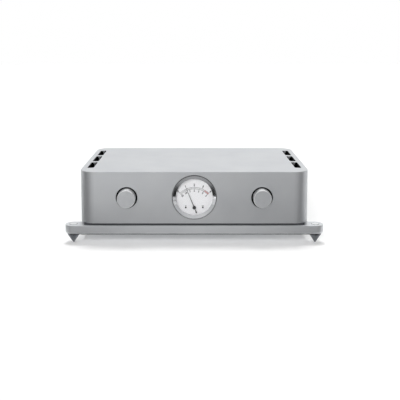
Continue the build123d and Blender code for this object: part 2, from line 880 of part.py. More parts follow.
def make_meter_yoke():
    """The iron frame: poles round the core, a window for the magnet, the rear pivot bar, two posts."""
    window_z = hub_z + yoke_above - yoke_wall - magnet_h / 2
    with BuildPart() as yoke:
        slab_y(0, hub_z + (yoke_above - bridge_w / 2) / 2, yoke_y, yoke_back_y, yoke_w,
               yoke_above + bridge_w / 2)
        bar_y(0, hub_z, yoke_y, yoke_back_y, yoke_r)
        bar_y(0, hub_z, yoke_y, yoke_back_y, pole_r, Mode.SUBTRACT)
        slab_y(0, window_z, yoke_y, yoke_back_y, magnet_w + 2 * fit_gap, magnet_h + 2 * fit_gap, 0.0,
               Mode.SUBTRACT)
        slab_y(0, hub_z, rear_bar_y, rear_bar_y + rear_bar_t, yoke_w, bridge_w)
        for side in both:
            slab_y(side * leg_x, hub_z, yoke_back_y, rear_bar_y, leg_w, bridge_w)
            bar_y(side * leg_x, window_z, yoke_back_y, cup_back_y - cup_wall, leg_w / 2)
        bar_y(0, hub_z, rear_bar_y, rear_bar_y + rear_bar_t, staff_r + shaft_gap, Mode.SUBTRACT)
    save(yoke, "meter_yoke")


def make_meter_magnet():
    """The bar magnet in the yoke's window, over the coil."""
    with BuildPart() as magnet:
        slab_y(0, hub_z + yoke_above - yoke_wall - magnet_h / 2, yoke_y, yoke_back_y, magnet_w, magnet_h)
    save(magnet, "meter_magnet")


def make_meter_core():
    """The round iron core inside the coil, hung from the yoke by a tab that the coil never reaches."""
    from_y = yoke_y + core_inset
    to_y = yoke_back_y - core_inset
    with BuildPart() as core:
        bar_y(0, hub_z, from_y, to_y, core_r)
        slab_y(0, hub_z + core_tab_top / 2, from_y, to_y, core_tab_w, core_tab_top)
    save(core, "meter_core")


def make_front_bridge():
    """The brass bar with the front pivot, the dial's two posts, two legs and the spring's stud."""
    stud_x = spring_start_r + spring_turn_count * spring_pitch
    with BuildPart() as bridge:
        slab_y(0, hub_z, bridge_y, bridge_back_y, 2 * (dial_screw_x + post_r), bridge_w)
        for side in both:
            x = side * dial_screw_x
            slab_y(side * leg_x, hub_z, bridge_back_y, yoke_y, leg_w, bridge_w)
            bar_y(x, hub_z, cup_y, bridge_y, post_r)
            bar_y(x, hub_z, cup_y, bridge_y, dial_screw_r + shaft_gap, Mode.SUBTRACT)
        bar_y(stud_x, hub_z + spring_stud_r + fit_gap, bridge_back_y, spring_y + spring_w, spring_stud_r)
        bar_y(0, hub_z, bridge_y, bridge_back_y, staff_r + shaft_gap, Mode.SUBTRACT)
    save(bridge, "front_bridge")


def needle_plane(y):
    """A plane seen from the front, at the hub, with its up direction along the resting needle."""
    turn = radians(needle_rest_deg)
    return Plane(origin=(0, y, hub_z), x_dir=(cos(turn), 0, sin(turn)), z_dir=(0, -1, 0))


def make_needle():
    """The tapered pointer with its tail weight and the round hub in front."""
    half_root = needle_root_w / 2
    half_tip = needle_tip_w / 2
    hub_y = needle_y + (hub_t - needle_t) / 2
    with BuildPart() as needle:
        with BuildSketch(needle_plane(needle_y)) as blade:
            with BuildLine():
                Polyline(
                    (-half_root, -needle_tail),
                    (half_root, -needle_tail),
                    (half_root, 0),
                    (half_tip, needle_len),
                    (-half_tip, needle_len),
                    (-half_root, 0),
                    close=True,
                )
            make_face()
            with Locations((0, needle_weight_r - needle_tail)):
                Circle(needle_weight_r)
        extrude(blade.sketch, amount=needle_t)
        bar_y(0, hub_z, hub_y - hub_t, hub_y, hub_r)
    save(needle, "needle")


def make_moving_coil():
    """The wound frame round the core, with its pivot staffs fore and aft and the spring's collet."""
    turn = radians(needle_rest_deg)
    hub_y = needle_y + (hub_t - needle_t) / 2
    frame_plane = Plane(origin=(0, 0, hub_z), x_dir=(cos(turn), 0, sin(turn)),
                        z_dir=(-sin(turn), 0, cos(turn)))
    with BuildPart() as coil:
        with BuildSketch(frame_plane) as frame:
            with Locations((0, (coil_front_y + coil_rear_y) / 2)):
                length = coil_rear_y - coil_front_y
                Rectangle(2 * coil_out_r, length)
                Rectangle(2 * coil_in_r, length - 2 * coil_end_t, mode=Mode.SUBTRACT)
        extrude(frame.sketch, amount=coil_w / 2, both=True)
        bar_y(0, hub_z, hub_y, coil_front_y, staff_r)
        bar_y(0, hub_z, coil_rear_y, rear_bar_y + rear_bar_t, staff_r)
        bar_y(0, hub_z, spring_y, spring_y + spring_w, collet_r)
    save(coil, "moving_coil")


def make_hairspring():
    """A flat spiral of half turns, each half a pitch wider, from the collet out to the bridge's stud."""
    end_x = spring_start_r + spring_turn_count * spring_pitch
    with BuildPart() as spring:
        with BuildSketch(facing(spring_y, 0, hub_z)) as spiral:
            with BuildLine():
                for half in range(2 * spring_turn_count):
                    odd = half % 2
                    centre = (odd * spring_pitch / 2, 0)
                    r = spring_start_r + half * spring_pitch / 2
                    CenterArc(centre, r + spring_t / 2, 180 * odd, 180)
                    CenterArc(centre, r - spring_t / 2, 180 * odd, 180)
                Line((spring_start_r - spring_t / 2, 0), (spring_start_r + spring_t / 2, 0))
                Line((end_x - spring_t / 2, 0), (end_x + spring_t / 2, 0))
            make_face()
        extrude(spiral.sketch, amount=-spring_w)
    save(spring, "hairspring")


# The rear panel and its connectors

def make_rear_panel():
    """The flush plate that carries the connectors, with a hole for each of them."""
    with BuildPart() as panel:
        slab_y(0, mid_z, panel_y, rear_y, panel_w, panel_h, panel_corner_r)
        for x, z in sockets:
            bar_y(x, z, panel_y, rear_y, socket_thread_r + fit_gap, Mode.SUBTRACT)
        for z in xlrs_z:
            bar_y(xlr_x, z, panel_y, rear_y, xlr_shell_r + fit_gap, Mode.SUBTRACT)
        slab_y(inlet_x, mid_z, panel_y, rear_y, inlet_w + 2 * edge_gap, inlet_h + 2 * edge_gap, 0.0,
               Mode.SUBTRACT)
        slab_y(switch_x, mid_z, panel_y, rear_y, switch_body_w + 2 * edge_gap,
               switch_body_h + 2 * edge_gap, 0.0, Mode.SUBTRACT)
        bar_y(ground_x, ground_z, panel_y, rear_y, ground_post_r + fit_gap, Mode.SUBTRACT)
        for x, z in rim_screws + xlr_screws + inlet_screws:
            bar_y(x, z, panel_y, rear_y, m3_r + fit_gap, Mode.SUBTRACT)
    save(panel, "rear_panel")


def make_pan_head_screws():
    """Alike screws of the panel's rim, of the connectors' flanges and of the board."""
    seats = [(x, z, rear_y, panel_y - m3_panel_bite + edge_gap) for x, z in rim_screws]
    seats += [(x, z, rear_y + xlr_flange_t, panel_y) for x, z in xlr_screws]
    seats += [(x, z, inlet_face_y, panel_y) for x, z in inlet_screws]
    with BuildPart() as screws:
        for x, z, head_y, tip_y in seats:
            bar_y(x, z, head_y, head_y + m3_head_h, m3_head_r)
            bar_y(x, z, tip_y, head_y, m3_r)
            driver_y = head_y + m3_head_h - m3_driver_depth
            bar_y(x, z, driver_y, head_y + m3_head_h, m3_driver_r, Mode.SUBTRACT)
        for x, y in pillars:
            bar_z(x, y, board_top_z, board_top_z + m3_head_h, m3_head_r)
            bar_z(x, y, board_z - m3_bite + edge_gap, board_top_z, m3_r)
            driver_z = board_top_z + m3_head_h - m3_driver_depth
            bar_z(x, y, driver_z, board_top_z + m3_head_h, m3_driver_r, Mode.SUBTRACT)
    save(screws, "pan_head_screws")


def make_rca_sockets():
    """The plated shells of the phono sockets: a thread through the panel, a flange and a barrel."""
    with BuildPart() as shells:
        for x, z in sockets:
            bar_y(x, z, panel_y - socket_inside, rear_y, socket_thread_r)
            bar_y(x, z, rear_y, rear_y + socket_flange_t, socket_flange_r)
            bar_y(x, z, rear_y + socket_flange_t, reach_y, socket_barrel_r)
            bar_y(x, z, panel_y - socket_inside, reach_y, socket_bore_r, Mode.SUBTRACT)
    save(shells, "rca_sockets")


def make_rca_nuts():
    """The nuts that hold the phono sockets from inside."""
    with BuildPart() as nuts:
        for x, z in sockets:
            nut_y(x, z, panel_y - socket_nut_t, panel_y, socket_nut_r, socket_thread_r + fit_gap)
    save(nuts, "rca_nuts")


def make_rca_insulators(z, name):
    """The coloured insulators of one row of phono sockets."""
    with BuildPart() as insulators:
        for x in sockets_x:
            bar_y(x, z, panel_y - socket_inside, reach_y - contact_recess, socket_bore_r - fit_gap)
            bar_y(x, z, panel_y - socket_inside, reach_y - contact_recess, contact_r + fit_gap,
                  Mode.SUBTRACT)
    save(insulators, name)


def make_socket_contacts():
    """Gold contacts: the phono sockets' centre tubes with their tails, and the balanced pins."""
    tube_end_y = reach_y - contact_recess
    pin_from_y = rear_y - xlr_insert_from - xlr_pin_tail
    pin_to_y = rear_y + xlr_flange_t - xlr_pin_recess
    with BuildPart() as contacts:
        for x, z in sockets:
            bar_y(x, z, panel_y - socket_inside, tube_end_y, contact_r)
            bar_y(x, z, tube_end_y - contact_hole_depth, tube_end_y, contact_hole_r, Mode.SUBTRACT)
            bar_y(x, z, panel_y - socket_inside - contact_tail, panel_y - socket_inside, contact_hole_r)
        for z in xlrs_z:
            for pin_x, pin_z in pin_points(z):
                bar_y(pin_x, pin_z, pin_from_y, pin_to_y, xlr_pin_r)
    save(contacts, "socket_contacts")


def make_io_board():
    """The upright board behind the phono sockets, carried on their tails."""
    w = sockets_x[-1] - sockets_x[0] + 2 * io_board_margin
    y = panel_y - socket_inside
    with BuildPart() as board:
        slab_y((sockets_x[0] + sockets_x[-1]) / 2, mid_z, y - board_t, y, w, io_board_h)
        for x, z in sockets:
            bar_y(x, z, y - board_t, y, contact_hole_r + fit_gap, Mode.SUBTRACT)
    save(board, "io_board")


def make_xlr_sockets():
    """The flanged round shells of the two balanced outputs."""
    face_y = rear_y + xlr_flange_t
    with BuildPart() as shells:
        for z in xlrs_z:
            slab_y(xlr_x, z, rear_y, face_y, xlr_flange_w, xlr_flange_h, xlr_corner_r)
            bar_y(xlr_x, z, rear_y - xlr_inside, rear_y, xlr_shell_r)
            bar_y(xlr_x, z, rear_y - xlr_inside, face_y, xlr_cavity_r, Mode.SUBTRACT)
        for x, z in xlr_screws:
            bar_y(x, z, rear_y, face_y, m3_r + fit_gap, Mode.SUBTRACT)
    save(shells, "xlr_sockets")


def pin_points(z):
    """The three pins of a balanced socket, on their circle."""
    turns = [radians(90 + 120 * i) for i in range(3)]
    return [(xlr_x + xlr_pin_circle_r * cos(a), z - xlr_pin_circle_r * sin(a)) for a in turns]


def make_xlr_inserts():
    """The moulded discs that hold the pins."""
    from_y = rear_y - xlr_insert_from
    with BuildPart() as inserts:
        for z in xlrs_z:
            bar_y(xlr_x, z, from_y, from_y + xlr_insert_t, xlr_cavity_r - fit_gap)
            for pin_x, pin_z in pin_points(z):
                bar_y(pin_x, pin_z, from_y, from_y + xlr_insert_t, xlr_pin_r + shaft_gap, Mode.SUBTRACT)
    save(inserts, "xlr_inserts")


def make_mains_inlet():
    """The moulded mains inlet: a flange, the plug's cavity and, under it, the fuse drawer's slot."""
    slot_w = drawer_w + 2 * edge_gap
    slot_h = drawer_h + 2 * edge_gap
    with BuildPart() as inlet:
        slab_y(inlet_x, mid_z, rear_y, inlet_face_y, inlet_flange_w, inlet_flange_h, inlet_corner_r)
        slab_y(inlet_x, mid_z, rear_y - inlet_inside, rear_y, inlet_w, inlet_h)
        with BuildSketch(facing(inlet_face_y - plug_depth, inlet_x, plug_z)) as cavity:
            Rectangle(plug_w, plug_h)
            chamfer(cavity.vertices().group_by(Axis.Z)[-1], plug_corner)
        extrude(cavity.sketch, amount=-plug_depth, mode=Mode.SUBTRACT)
        slab_y(inlet_x, drawer_z, inlet_face_y - drawer_len - edge_gap, inlet_face_y, slot_w, slot_h,
               0.0, Mode.SUBTRACT)
        for x, z in blade_spots:
            slab_y(x, z, rear_y - inlet_inside, inlet_face_y - plug_depth, blade_t, blade_w, 0.0,
                   Mode.SUBTRACT)
        for x, z in inlet_screws:
            bar_y(x, z, rear_y, inlet_face_y, m3_r + fit_gap, Mode.SUBTRACT)
    save(inlet, "mains_inlet")


def make_inlet_blades():
    """The three flat pins in the inlet, each in one piece with its tag behind."""
    with BuildPart() as blades:
        for x, z in blade_spots:
            slab_y(x, z, inlet_tag_y, inlet_face_y - plug_depth + blade_len, blade_t, blade_w)
    save(blades, "inlet_blades")


def make_fuse_drawer():
    """The small drawer under the inlet, with a trough for the fuse and a lip to pull it by."""
    inner_y_end = inlet_face_y - drawer_len
    fuse_y = inner_y_end + fuse_from_end
    with BuildPart() as drawer:
        slab_y(inlet_x, drawer_z, inner_y_end, inlet_face_y, drawer_w, drawer_h)
        slab_y(inlet_x, drawer_z, inlet_face_y, inlet_face_y + drawer_lip_t,
               drawer_w + 2 * drawer_lip_over, drawer_h + 2 * drawer_lip_over, drawer_lip_over)
        block(inlet_x, fuse_y, drawer_z - fuse_r - fit_gap, fuse_len + 2 * fit_gap,
              2 * (fuse_r + fit_gap), drawer_h, Mode.SUBTRACT)
    save(drawer, "fuse_drawer")


def make_fuse():
    """The cartridge fuse lying across the drawer."""
    fuse_y = inlet_face_y - drawer_len + fuse_from_end
    with BuildPart() as fuse:
        with BuildSketch(Plane(origin=(inlet_x - fuse_len / 2, fuse_y, drawer_z), x_dir=(0, 1, 0),
                               z_dir=(1, 0, 0))):
            Circle(fuse_r)
        extrude(amount=fuse_len)
    save(fuse, "fuse")


def rocker_plane(x):
    """A plane across the rocker at its pivot, with its X direction straight out of the tilted face."""
    tilt = radians(rocker_throw_deg / 2)
    return Plane(origin=(x, rocker_y, mid_z), x_dir=(0, cos(tilt), sin(tilt)), z_dir=(1, 0, 0))


def make_power_switch():
    """The rocker's frame: a flange outside, a box behind the panel, and bearings for the rocker."""
    mouth_w = rocker_w + 2 * edge_gap
    mouth_h = 2 * (rocker_r + edge_gap)
    back_y = rear_y - switch_inside
    with BuildPart() as frame:
        slab_y(switch_x, mid_z, rear_y, rear_y + switch_flange_t, switch_w, switch_h, switch_flange_t)
        slab_y(switch_x, mid_z, back_y, rear_y, switch_body_w, switch_body_h)
        slab_y(switch_x, mid_z, back_y + switch_floor_t, rear_y + switch_flange_t, mouth_w, mouth_h, 0.0,
               Mode.SUBTRACT)
        with BuildSketch(rocker_plane(switch_x - switch_body_w / 2)) as bearing:
            Circle(rocker_pin_r + shaft_gap)
        extrude(bearing.sketch, amount=switch_body_w, mode=Mode.SUBTRACT)
    save(frame, "power_switch")


def make_power_rocker():
    """The rocker: round about its pivot, with two faces that meet in a shallow valley, and two pins."""
    rise = rocker_r * tan(radians(rocker_throw_deg / 2))
    pin_span = rocker_w + 2 * rocker_pin_len
    with BuildPart() as rocker:
        with BuildSketch(rocker_plane(switch_x - rocker_w / 2)) as side:
            Circle(rocker_r)
            with BuildLine():
                Polyline(
                    (rocker_face, 0),
                    (rocker_face + rise, rocker_r),
                    (2 * rocker_r, rocker_r),
                    (2 * rocker_r, -rocker_r),
                    (rocker_face + rise, -rocker_r),
                    close=True,
                )
            make_face(mode=Mode.SUBTRACT)
            with Locations((-rocker_back - rocker_r, 0)):
                Rectangle(2 * rocker_r, 2 * rocker_r, mode=Mode.SUBTRACT)
        extrude(side.sketch, amount=rocker_w)
        with BuildSketch(rocker_plane(switch_x - pin_span / 2)) as pin:
            Circle(rocker_pin_r)
        extrude(pin.sketch, amount=pin_span)
    save(rocker, "power_rocker")


def make_ground_post():
    """The earth terminal's threaded post, with its collar outside and its nut inside the panel."""
    with BuildPart() as post:
        bar_y(ground_x, ground_z, panel_y - ground_inside, rear_y + ground_post_len, ground_post_r)
        bar_y(ground_x, ground_z, rear_y, rear_y + ground_flange_t, ground_flange_r)
        nut_y(ground_x, ground_z, panel_y - ground_inner_nut_t, panel_y, ground_flange_r,
              ground_post_r - fit_gap)
    save(post, "ground_post")


def make_ground_nut():
    """The thumb nut on the earth terminal, grooved for the fingers."""
    from_y = rear_y + ground_flange_t + ground_nut_gap
    to_y = from_y + ground_nut_t
    with BuildPart() as nut:
        bar_y(ground_x, ground_z, from_y, to_y, ground_nut_r)
        bar_y(ground_x, ground_z, from_y, to_y, ground_post_r + shaft_gap, Mode.SUBTRACT)
        for i in range(ground_groove_count):
            turn = radians(i * 360 / ground_groove_count)
            x = ground_x + ground_nut_r * cos(turn)
            z = ground_z + ground_nut_r * sin(turn)
            bar_y(x, z, from_y, to_y, edge_gap, Mode.SUBTRACT)
    save(nut, "ground_nut")


# What is inside the case

def make_main_board():
    """The level circuit board."""
    with BuildPart() as board:
        block(board_x, board_y, board_z, board_w, board_d, board_t)
        for x, y in pillars:
            bar_z(x, y, board_z, board_top_z, m3_r + fit_gap, Mode.SUBTRACT)
    save(board, "main_board")


def make_board_pillars():
    """Pillars pressed into the bottom sheet, tapped for the board's screws."""
    with BuildPart() as posts:
        for x, y in pillars:
            bar_z(x, y, floor_z, board_z, pillar_r)
            bar_z(x, y, body_z, floor_z, m3_r)
            bar_z(x, y, board_z - m3_bite, board_z, m3_r + shaft_gap, Mode.SUBTRACT)
    save(posts, "board_pillars")


def make_transformer():
    """The ring-shaped mains transformer, taped round, standing on its pad."""
    ring_w = toroid_out_r - toroid_in_r
    with BuildPart() as toroid:
        with BuildSketch(Plane.XZ.offset(-toroid_y)):
            with Locations((toroid_x + toroid_in_r + ring_w / 2, toroid_z + toroid_h / 2)):
                RectangleRounded(ring_w, toroid_h, toroid_round)
        revolve(axis=Axis((toroid_x, toroid_y, 0), (0, 0, 1)))
    save(toroid, "transformer")


def make_transformer_pads():
    """The soft discs under and over the transformer."""
    with BuildPart() as pads:
        bar_z(toroid_x, toroid_y, floor_z, toroid_z, lower_pad_r)
        bar_z(toroid_x, toroid_y, toroid_top_z, clamp_z, clamp_r)
        bar_z(toroid_x, toroid_y, floor_z, clamp_z, m6_r + edge_gap, Mode.SUBTRACT)
    save(pads, "transformer_pads")


def make_transformer_clamp():
    """The pressed steel disc that holds the transformer down."""
    with BuildPart() as disc:
        bar_z(toroid_x, toroid_y, clamp_z, clamp_z + clamp_t, clamp_r)
        bar_z(toroid_x, toroid_y, clamp_z, clamp_z + clamp_t, m6_r + fit_gap, Mode.SUBTRACT)
        chamfer(disc.edges().group_by(Axis.Z)[-1].sort_by(SortBy.LENGTH)[-1], edge_break)
    save(disc, "transformer_clamp")


def make_transformer_bolt():
    """The long bolt up through the transformer, and its nut."""
    nut_z = clamp_z + clamp_t
    with BuildPart() as bolt:
        bar_z(toroid_x, toroid_y, body_z - toroid_bolt_head_h, body_z, m6_head_r)
        bar_z(toroid_x, toroid_y, body_z, nut_z + toroid_nut_h + toroid_bolt_over, m6_r)
        with BuildSketch(level(nut_z, toroid_x, toroid_y)) as nut:
            RegularPolygon(toroid_nut_r, 6)
        extrude(nut.sketch, amount=toroid_nut_h)
    save(bolt, "transformer_bolt")


def make_filter_capacitors():
    """The row of tall reservoir capacitors on the board's left end."""
    with BuildPart() as cans:
        for i in range(reservoir_count):
            y = board_y + (i - (reservoir_count - 1) / 2) * reservoir_pitch
            bar_z(reservoir_x, y, board_top_z, board_top_z + reservoir_h, reservoir_r)
        fillet(cans.edges().group_by(Axis.Z)[-1], reservoir_round)
    save(cans, "filter_capacitors")


def make_heat_sinks():
    """The regulators' finned heat sinks, standing on the board."""
    fin_w = sink_w - sink_base_t
    gap = (sink_len - fin_t) / (fin_count - 1)
    with BuildPart() as sinks:
        for side in both:
            y = board_y + side * sink_pitch / 2
            block(sink_x - sink_w / 2 + sink_base_t / 2, y, board_top_z, sink_base_t, sink_len, sink_h)
            for i in range(fin_count):
                fin_y = y - sink_len / 2 + fin_t / 2 + i * gap
                block(sink_x + sink_base_t / 2, fin_y, board_top_z, fin_w, fin_t, sink_h)
    save(sinks, "heat_sinks")


def make_gain_modules():
    """The potted line-stage modules, two for each channel."""
    with BuildPart() as modules:
        for i in (0, 1):
            for side in both:
                x = module_x + i * module_pitch_x
                y = board_y + side * module_pitch_y / 2
                block(x, y, board_top_z, module_w, module_d, module_h)
    save(modules, "gain_modules")


def sweep_lead(points, bend_r, r):
    """A round wire along straight runs joined by arcs."""
    with BuildLine() as route:
        FilletPolyline(*points, radius=bend_r)
    start = route.line
    with BuildSketch(Plane(origin=start @ 0, z_dir=start % 0)) as section:
        Circle(r)
    sweep(section.sketch, path=route.line)


def make_wiring():
    """The inner leads: mains, transformer to board, selector to board, the meter's pair, a ribbon."""
    toroid_mid_z = (toroid_z + toroid_top_z) / 2
    toroid_side_y = toroid_y + toroid_out_r
    toroid_side_x = toroid_x + (toroid_out_r - toroid_round + clamp_r) / 2
    over_z = toroid_top_z + lead_bend_r + 2 * lead_r
    board_x_in = board_left_x + 2 * lead_r
    board_y_in = board_y - board_d / 2 + meter_lead_bend_r
    top_tag = blade_spots[1]
    side_tag = blade_spots[2]
    turn_y = inlet_tag_y - lead_bend_r
    toroid_turn_y = (inlet_tag_y + toroid_side_y) / 2
    selector_x = selector_r / 2 - knob_x
    wafer_back_y = web_y + wafer_last + wafer_t
    cross_y = board_y_in - 2 * lead_small_bend_r - lead_r
    landing_x = (reservoir_x + reservoir_r + sink_x - sink_w / 2) / 2
    meter_tag_y = cup_back_y + cup_terminal_len
    volume_tag_y = volume_end_y + terminal_len
    volume_tag_z = mid_z - volume_w / 4
    with BuildPart() as wiring:
        sweep_lead([(top_tag[0], inlet_tag_y, top_tag[1]), (top_tag[0], toroid_turn_y, top_tag[1]),
                    (toroid_x, toroid_turn_y, toroid_mid_z), (toroid_x, toroid_side_y, toroid_mid_z)],
                   lead_small_bend_r, lead_r)
        sweep_lead([(side_tag[0], inlet_tag_y, side_tag[1]), (side_tag[0], turn_y, side_tag[1]),
                    (switch_x, turn_y, side_tag[1]), (switch_x, rear_y - switch_inside, side_tag[1])],
                   lead_small_bend_r, lead_r)
        sweep_lead([(toroid_side_x, toroid_y, toroid_top_z), (toroid_side_x, toroid_y, over_z),
                    (board_x_in, toroid_y, over_z), (board_x_in, toroid_y, board_top_z)],
                   lead_small_bend_r, lead_r)
        sweep_lead([(selector_x, wafer_back_y, mid_z), (selector_x, cross_y, mid_z),
                    (landing_x, cross_y, mid_z), (landing_x, board_y_in, mid_z),
                    (landing_x, board_y_in, board_top_z)],
                   lead_small_bend_r, lead_r)
        for side in both:
            x = side * cup_terminal_x
            sweep_lead([(x, meter_tag_y, meter_z), (x, board_y_in, meter_z), (x, board_y_in, board_top_z)],
                       meter_lead_bend_r, meter_lead_r)
        with BuildLine() as route:
            FilletPolyline((knob_x, volume_tag_y, volume_tag_z), (knob_x, board_y_in, volume_tag_z),
                           (knob_x, board_y_in, board_top_z), radius=meter_lead_bend_r)
        with BuildSketch(facing(volume_tag_y, knob_x, volume_tag_z)) as section:
            Rectangle(ribbon_w, ribbon_t)
        sweep(section.sketch, path=route.line)
    save(wiring, "wiring")


os.makedirs("parts", exist_ok=True)
make_housing()
make_bottom_cover()
make_cover_screws()
make_plinth()
make_base_plate()
make_spike_bushes()
make_spike(-1, -1, "spike_front_left")
make_spike(1, -1, "spike_front_right")
make_spike(-1, 1, "spike_rear_left")
make_spike(1, 1, "spike_rear_right")
make_base_bolts()
make_knob(-knob_x, "selector_knob")
make_knob(knob_x, "volume_knob")
make_shaft(-knob_x, selector_end_y - wafer_t, "selector_shaft")
make_shaft(knob_x, volume_end_y - volume_floor_t - edge_gap, "volume_shaft")
make_selector_switch()
make_volume_control()
make_control_nuts()
make_meter_bezel()
make_meter_glass()
make_glass_retainer()
make_meter_dial()
make_dial_screws()
make_meter_case()
make_meter_clamp_ring()
make_meter_yoke()
make_meter_magnet()
make_meter_core()
make_front_bridge()
make_needle()
make_moving_coil()
make_hairspring()
make_rear_panel()
make_pan_head_screws()
make_rca_sockets()
make_rca_nuts()
make_rca_insulators(upper_row_z, "rca_insulators_left")
make_rca_insulators(lower_row_z, "rca_insulators_right")
make_socket_contacts()
make_io_board()
make_xlr_sockets()
make_xlr_inserts()
make_mains_inlet()
make_inlet_blades()
make_fuse_drawer()
make_fuse()
make_power_switch()
make_power_rocker()
make_ground_post()
make_ground_nut()
make_main_board()
make_board_pillars()
make_transformer()
make_transformer_pads()
make_transformer_clamp()
make_transformer_bolt()
make_filter_capacitors()
make_heat_sinks()
make_gain_modules()
make_wiring()
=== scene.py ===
# %% [markdown]
# A preamplifier stands on four cone spikes. Its case, base plate, meter, controls and rear connectors are finished
# solids already, each one a separate object in metres, with the floor at z = 0 and the front facing -Y. This notebook
# loads them as a fixed frame, and then gives them a camera, light, finishes and the printed marks.

# %% Load the frame
import json
import math

import bpy
import numpy as np
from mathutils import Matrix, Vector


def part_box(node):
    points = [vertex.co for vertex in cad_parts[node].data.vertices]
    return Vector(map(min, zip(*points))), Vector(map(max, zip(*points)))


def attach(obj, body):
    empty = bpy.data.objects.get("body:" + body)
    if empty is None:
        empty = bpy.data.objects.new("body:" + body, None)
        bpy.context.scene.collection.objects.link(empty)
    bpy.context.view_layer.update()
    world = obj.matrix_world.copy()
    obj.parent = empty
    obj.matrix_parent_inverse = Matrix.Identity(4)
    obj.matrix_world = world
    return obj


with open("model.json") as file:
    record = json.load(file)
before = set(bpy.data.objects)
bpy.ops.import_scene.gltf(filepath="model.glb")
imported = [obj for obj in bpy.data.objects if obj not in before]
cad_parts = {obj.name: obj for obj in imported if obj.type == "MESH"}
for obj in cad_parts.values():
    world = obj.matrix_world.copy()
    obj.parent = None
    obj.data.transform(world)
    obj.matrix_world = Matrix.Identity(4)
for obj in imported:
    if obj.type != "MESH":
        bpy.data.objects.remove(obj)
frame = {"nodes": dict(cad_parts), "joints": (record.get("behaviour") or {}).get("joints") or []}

scene = bpy.context.scene
nodes = frame["nodes"]
joints = {joint["name"]: joint for joint in frame["joints"]}
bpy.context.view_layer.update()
mm = 0.001
print("nodes:", len(nodes), "joints:", len(joints))

# %% [markdown]
# Most of the settings below are values on shader nodes. One helper empties the node tree of a new material. Another
# places a node, sets its properties, and gives each socket either a number or a link, so that a material reads as a
# short list. Colours are written as the hex codes that a picture editor shows. Blender works in linear light, so each
# code passes through the sRGB curve first. The light of the room and of the paper cards is written as a linear level
# straight away, where 1 is white.

# %% Helpers for colours and nodes
def linear(code):
    """sRGB to linear light: c / 12.92 up to 0.04045, and above it ((c + 0.055) / 1.055) to the power 2.4."""
    c = np.array([int(code[i:i + 2], 16) for i in (1, 3, 5)]) / 255
    return (*np.where(c <= 0.04045, c / 12.92, ((c + 0.055) / 1.055) ** 2.4), 1.0)


def grey(level):
    """A neutral colour whose linear value is level."""
    return (level, level, level, 1.0)


def blank_tree(owner):
    """The node tree of a new material or world, emptied."""
    owner.use_nodes = True
    owner.node_tree.nodes.clear()
    return owner.node_tree


def add(tree, kind, inputs=None, stops=None, **settings):
    """Adds one node: settings are its properties, inputs feed its sockets, stops are a ramp's (place, colour) pairs."""
    node = tree.nodes.new(kind)
    for key, value in settings.items():
        setattr(node, key, value)
    for socket, value in (inputs or {}).items():
        if isinstance(value, bpy.types.NodeSocket):
            tree.links.new(value, node.inputs[socket])
        else:
            node.inputs[socket].default_value = value
    for i, (place, colour) in enumerate(stops or ()):
        ramp = node.color_ramp.elements
        stop = ramp[i] if i < 2 else ramp.new(place)
        stop.position, stop.color = place, colour
    return node


# %% [markdown]
# The camera stands in front of the object, a little above it, and looks slightly down. Its distance decides how much
# the top narrows towards the back, and its height how deep the top looks, so both come from how the straight edges of
# the case run in the picture. A small upward shift keeps the object in the middle of the frame while the lens stays
# nearly level, as on a view camera, which keeps the upright edges parallel.

# %% Camera
picture_px, focal_px, lens_axis_px = 400, 682.5, (194.3, 100.0)
eye_distance, eye_height, tilt_down = 1.386, 0.3888, 5.357
camera_data = bpy.data.cameras.new("camera")
camera_data.sensor_width = 36.0
camera_data.lens = focal_px / picture_px * camera_data.sensor_width
camera_data.shift_x = (picture_px / 2 - lens_axis_px[0]) / picture_px
camera_data.shift_y = (lens_axis_px[1] - picture_px / 2) / picture_px
camera = bpy.data.objects.new("camera", camera_data)
camera.location = (0.0, -eye_distance, eye_height)
camera.rotation_euler = (math.radians(90 - tilt_down), 0.0, 0.0)
scene.collection.objects.link(camera)
scene.camera = camera
print("lens", round(camera_data.lens, 1), "mm, shift", round(camera_data.shift_x, 3), round(camera_data.shift_y, 3))

# %% [markdown]
# Every new surface here comes from numpy: an array of points, and an array of faces that name their points by number.
# The floor and the paper cards of the studio are level boards, so each one is a grid of points whose neighbours are
# joined with four-sided faces.

# %% Meshes from arrays
def mesh_object(name, points, faces, material):
    """One object from an array of points and an array of faces, in one material."""
    mesh = bpy.data.meshes.new(name)
    mesh.from_pydata(points.tolist(), [], faces.tolist())
    mesh.materials.append(material)
    piece = bpy.data.objects.new(name, mesh)
    scene.collection.objects.link(piece)
    return piece


def level_board(name, x_span, y_span, height, steps, material):
    """A grid of steps by steps faces: face (i, j) joins point (i, j) to (i+1, j), (i+1, j+1) and (i, j+1)."""
    x, y = np.meshgrid(np.linspace(*x_span, steps + 1), np.linspace(*y_span, steps + 1), indexing="ij")
    points = np.stack([x, y, np.full_like(x, height)], -1).reshape(-1, 3)
    i, j = np.meshgrid(np.arange(steps), np.arange(steps), indexing="ij")
    here = i * (steps + 1) + j
    there = here + steps + 1
    faces = np.stack([here, there, there + 1, here + 1], -1).reshape(-1, 4)
    print(name, "from", (x_span[0], y_span[0]), "to", (x_span[1], y_span[1]), "m")
    return mesh_object(name, points, faces, material)


# %% [markdown]
# The floor is a wide pale board with a matt face. The lamps bring it to nearly nine tenths of white, and a little
# light of its own, seen by the camera and in metal and glass, brings it up to the white backdrop, so that it keeps the
# shadow under the spikes.

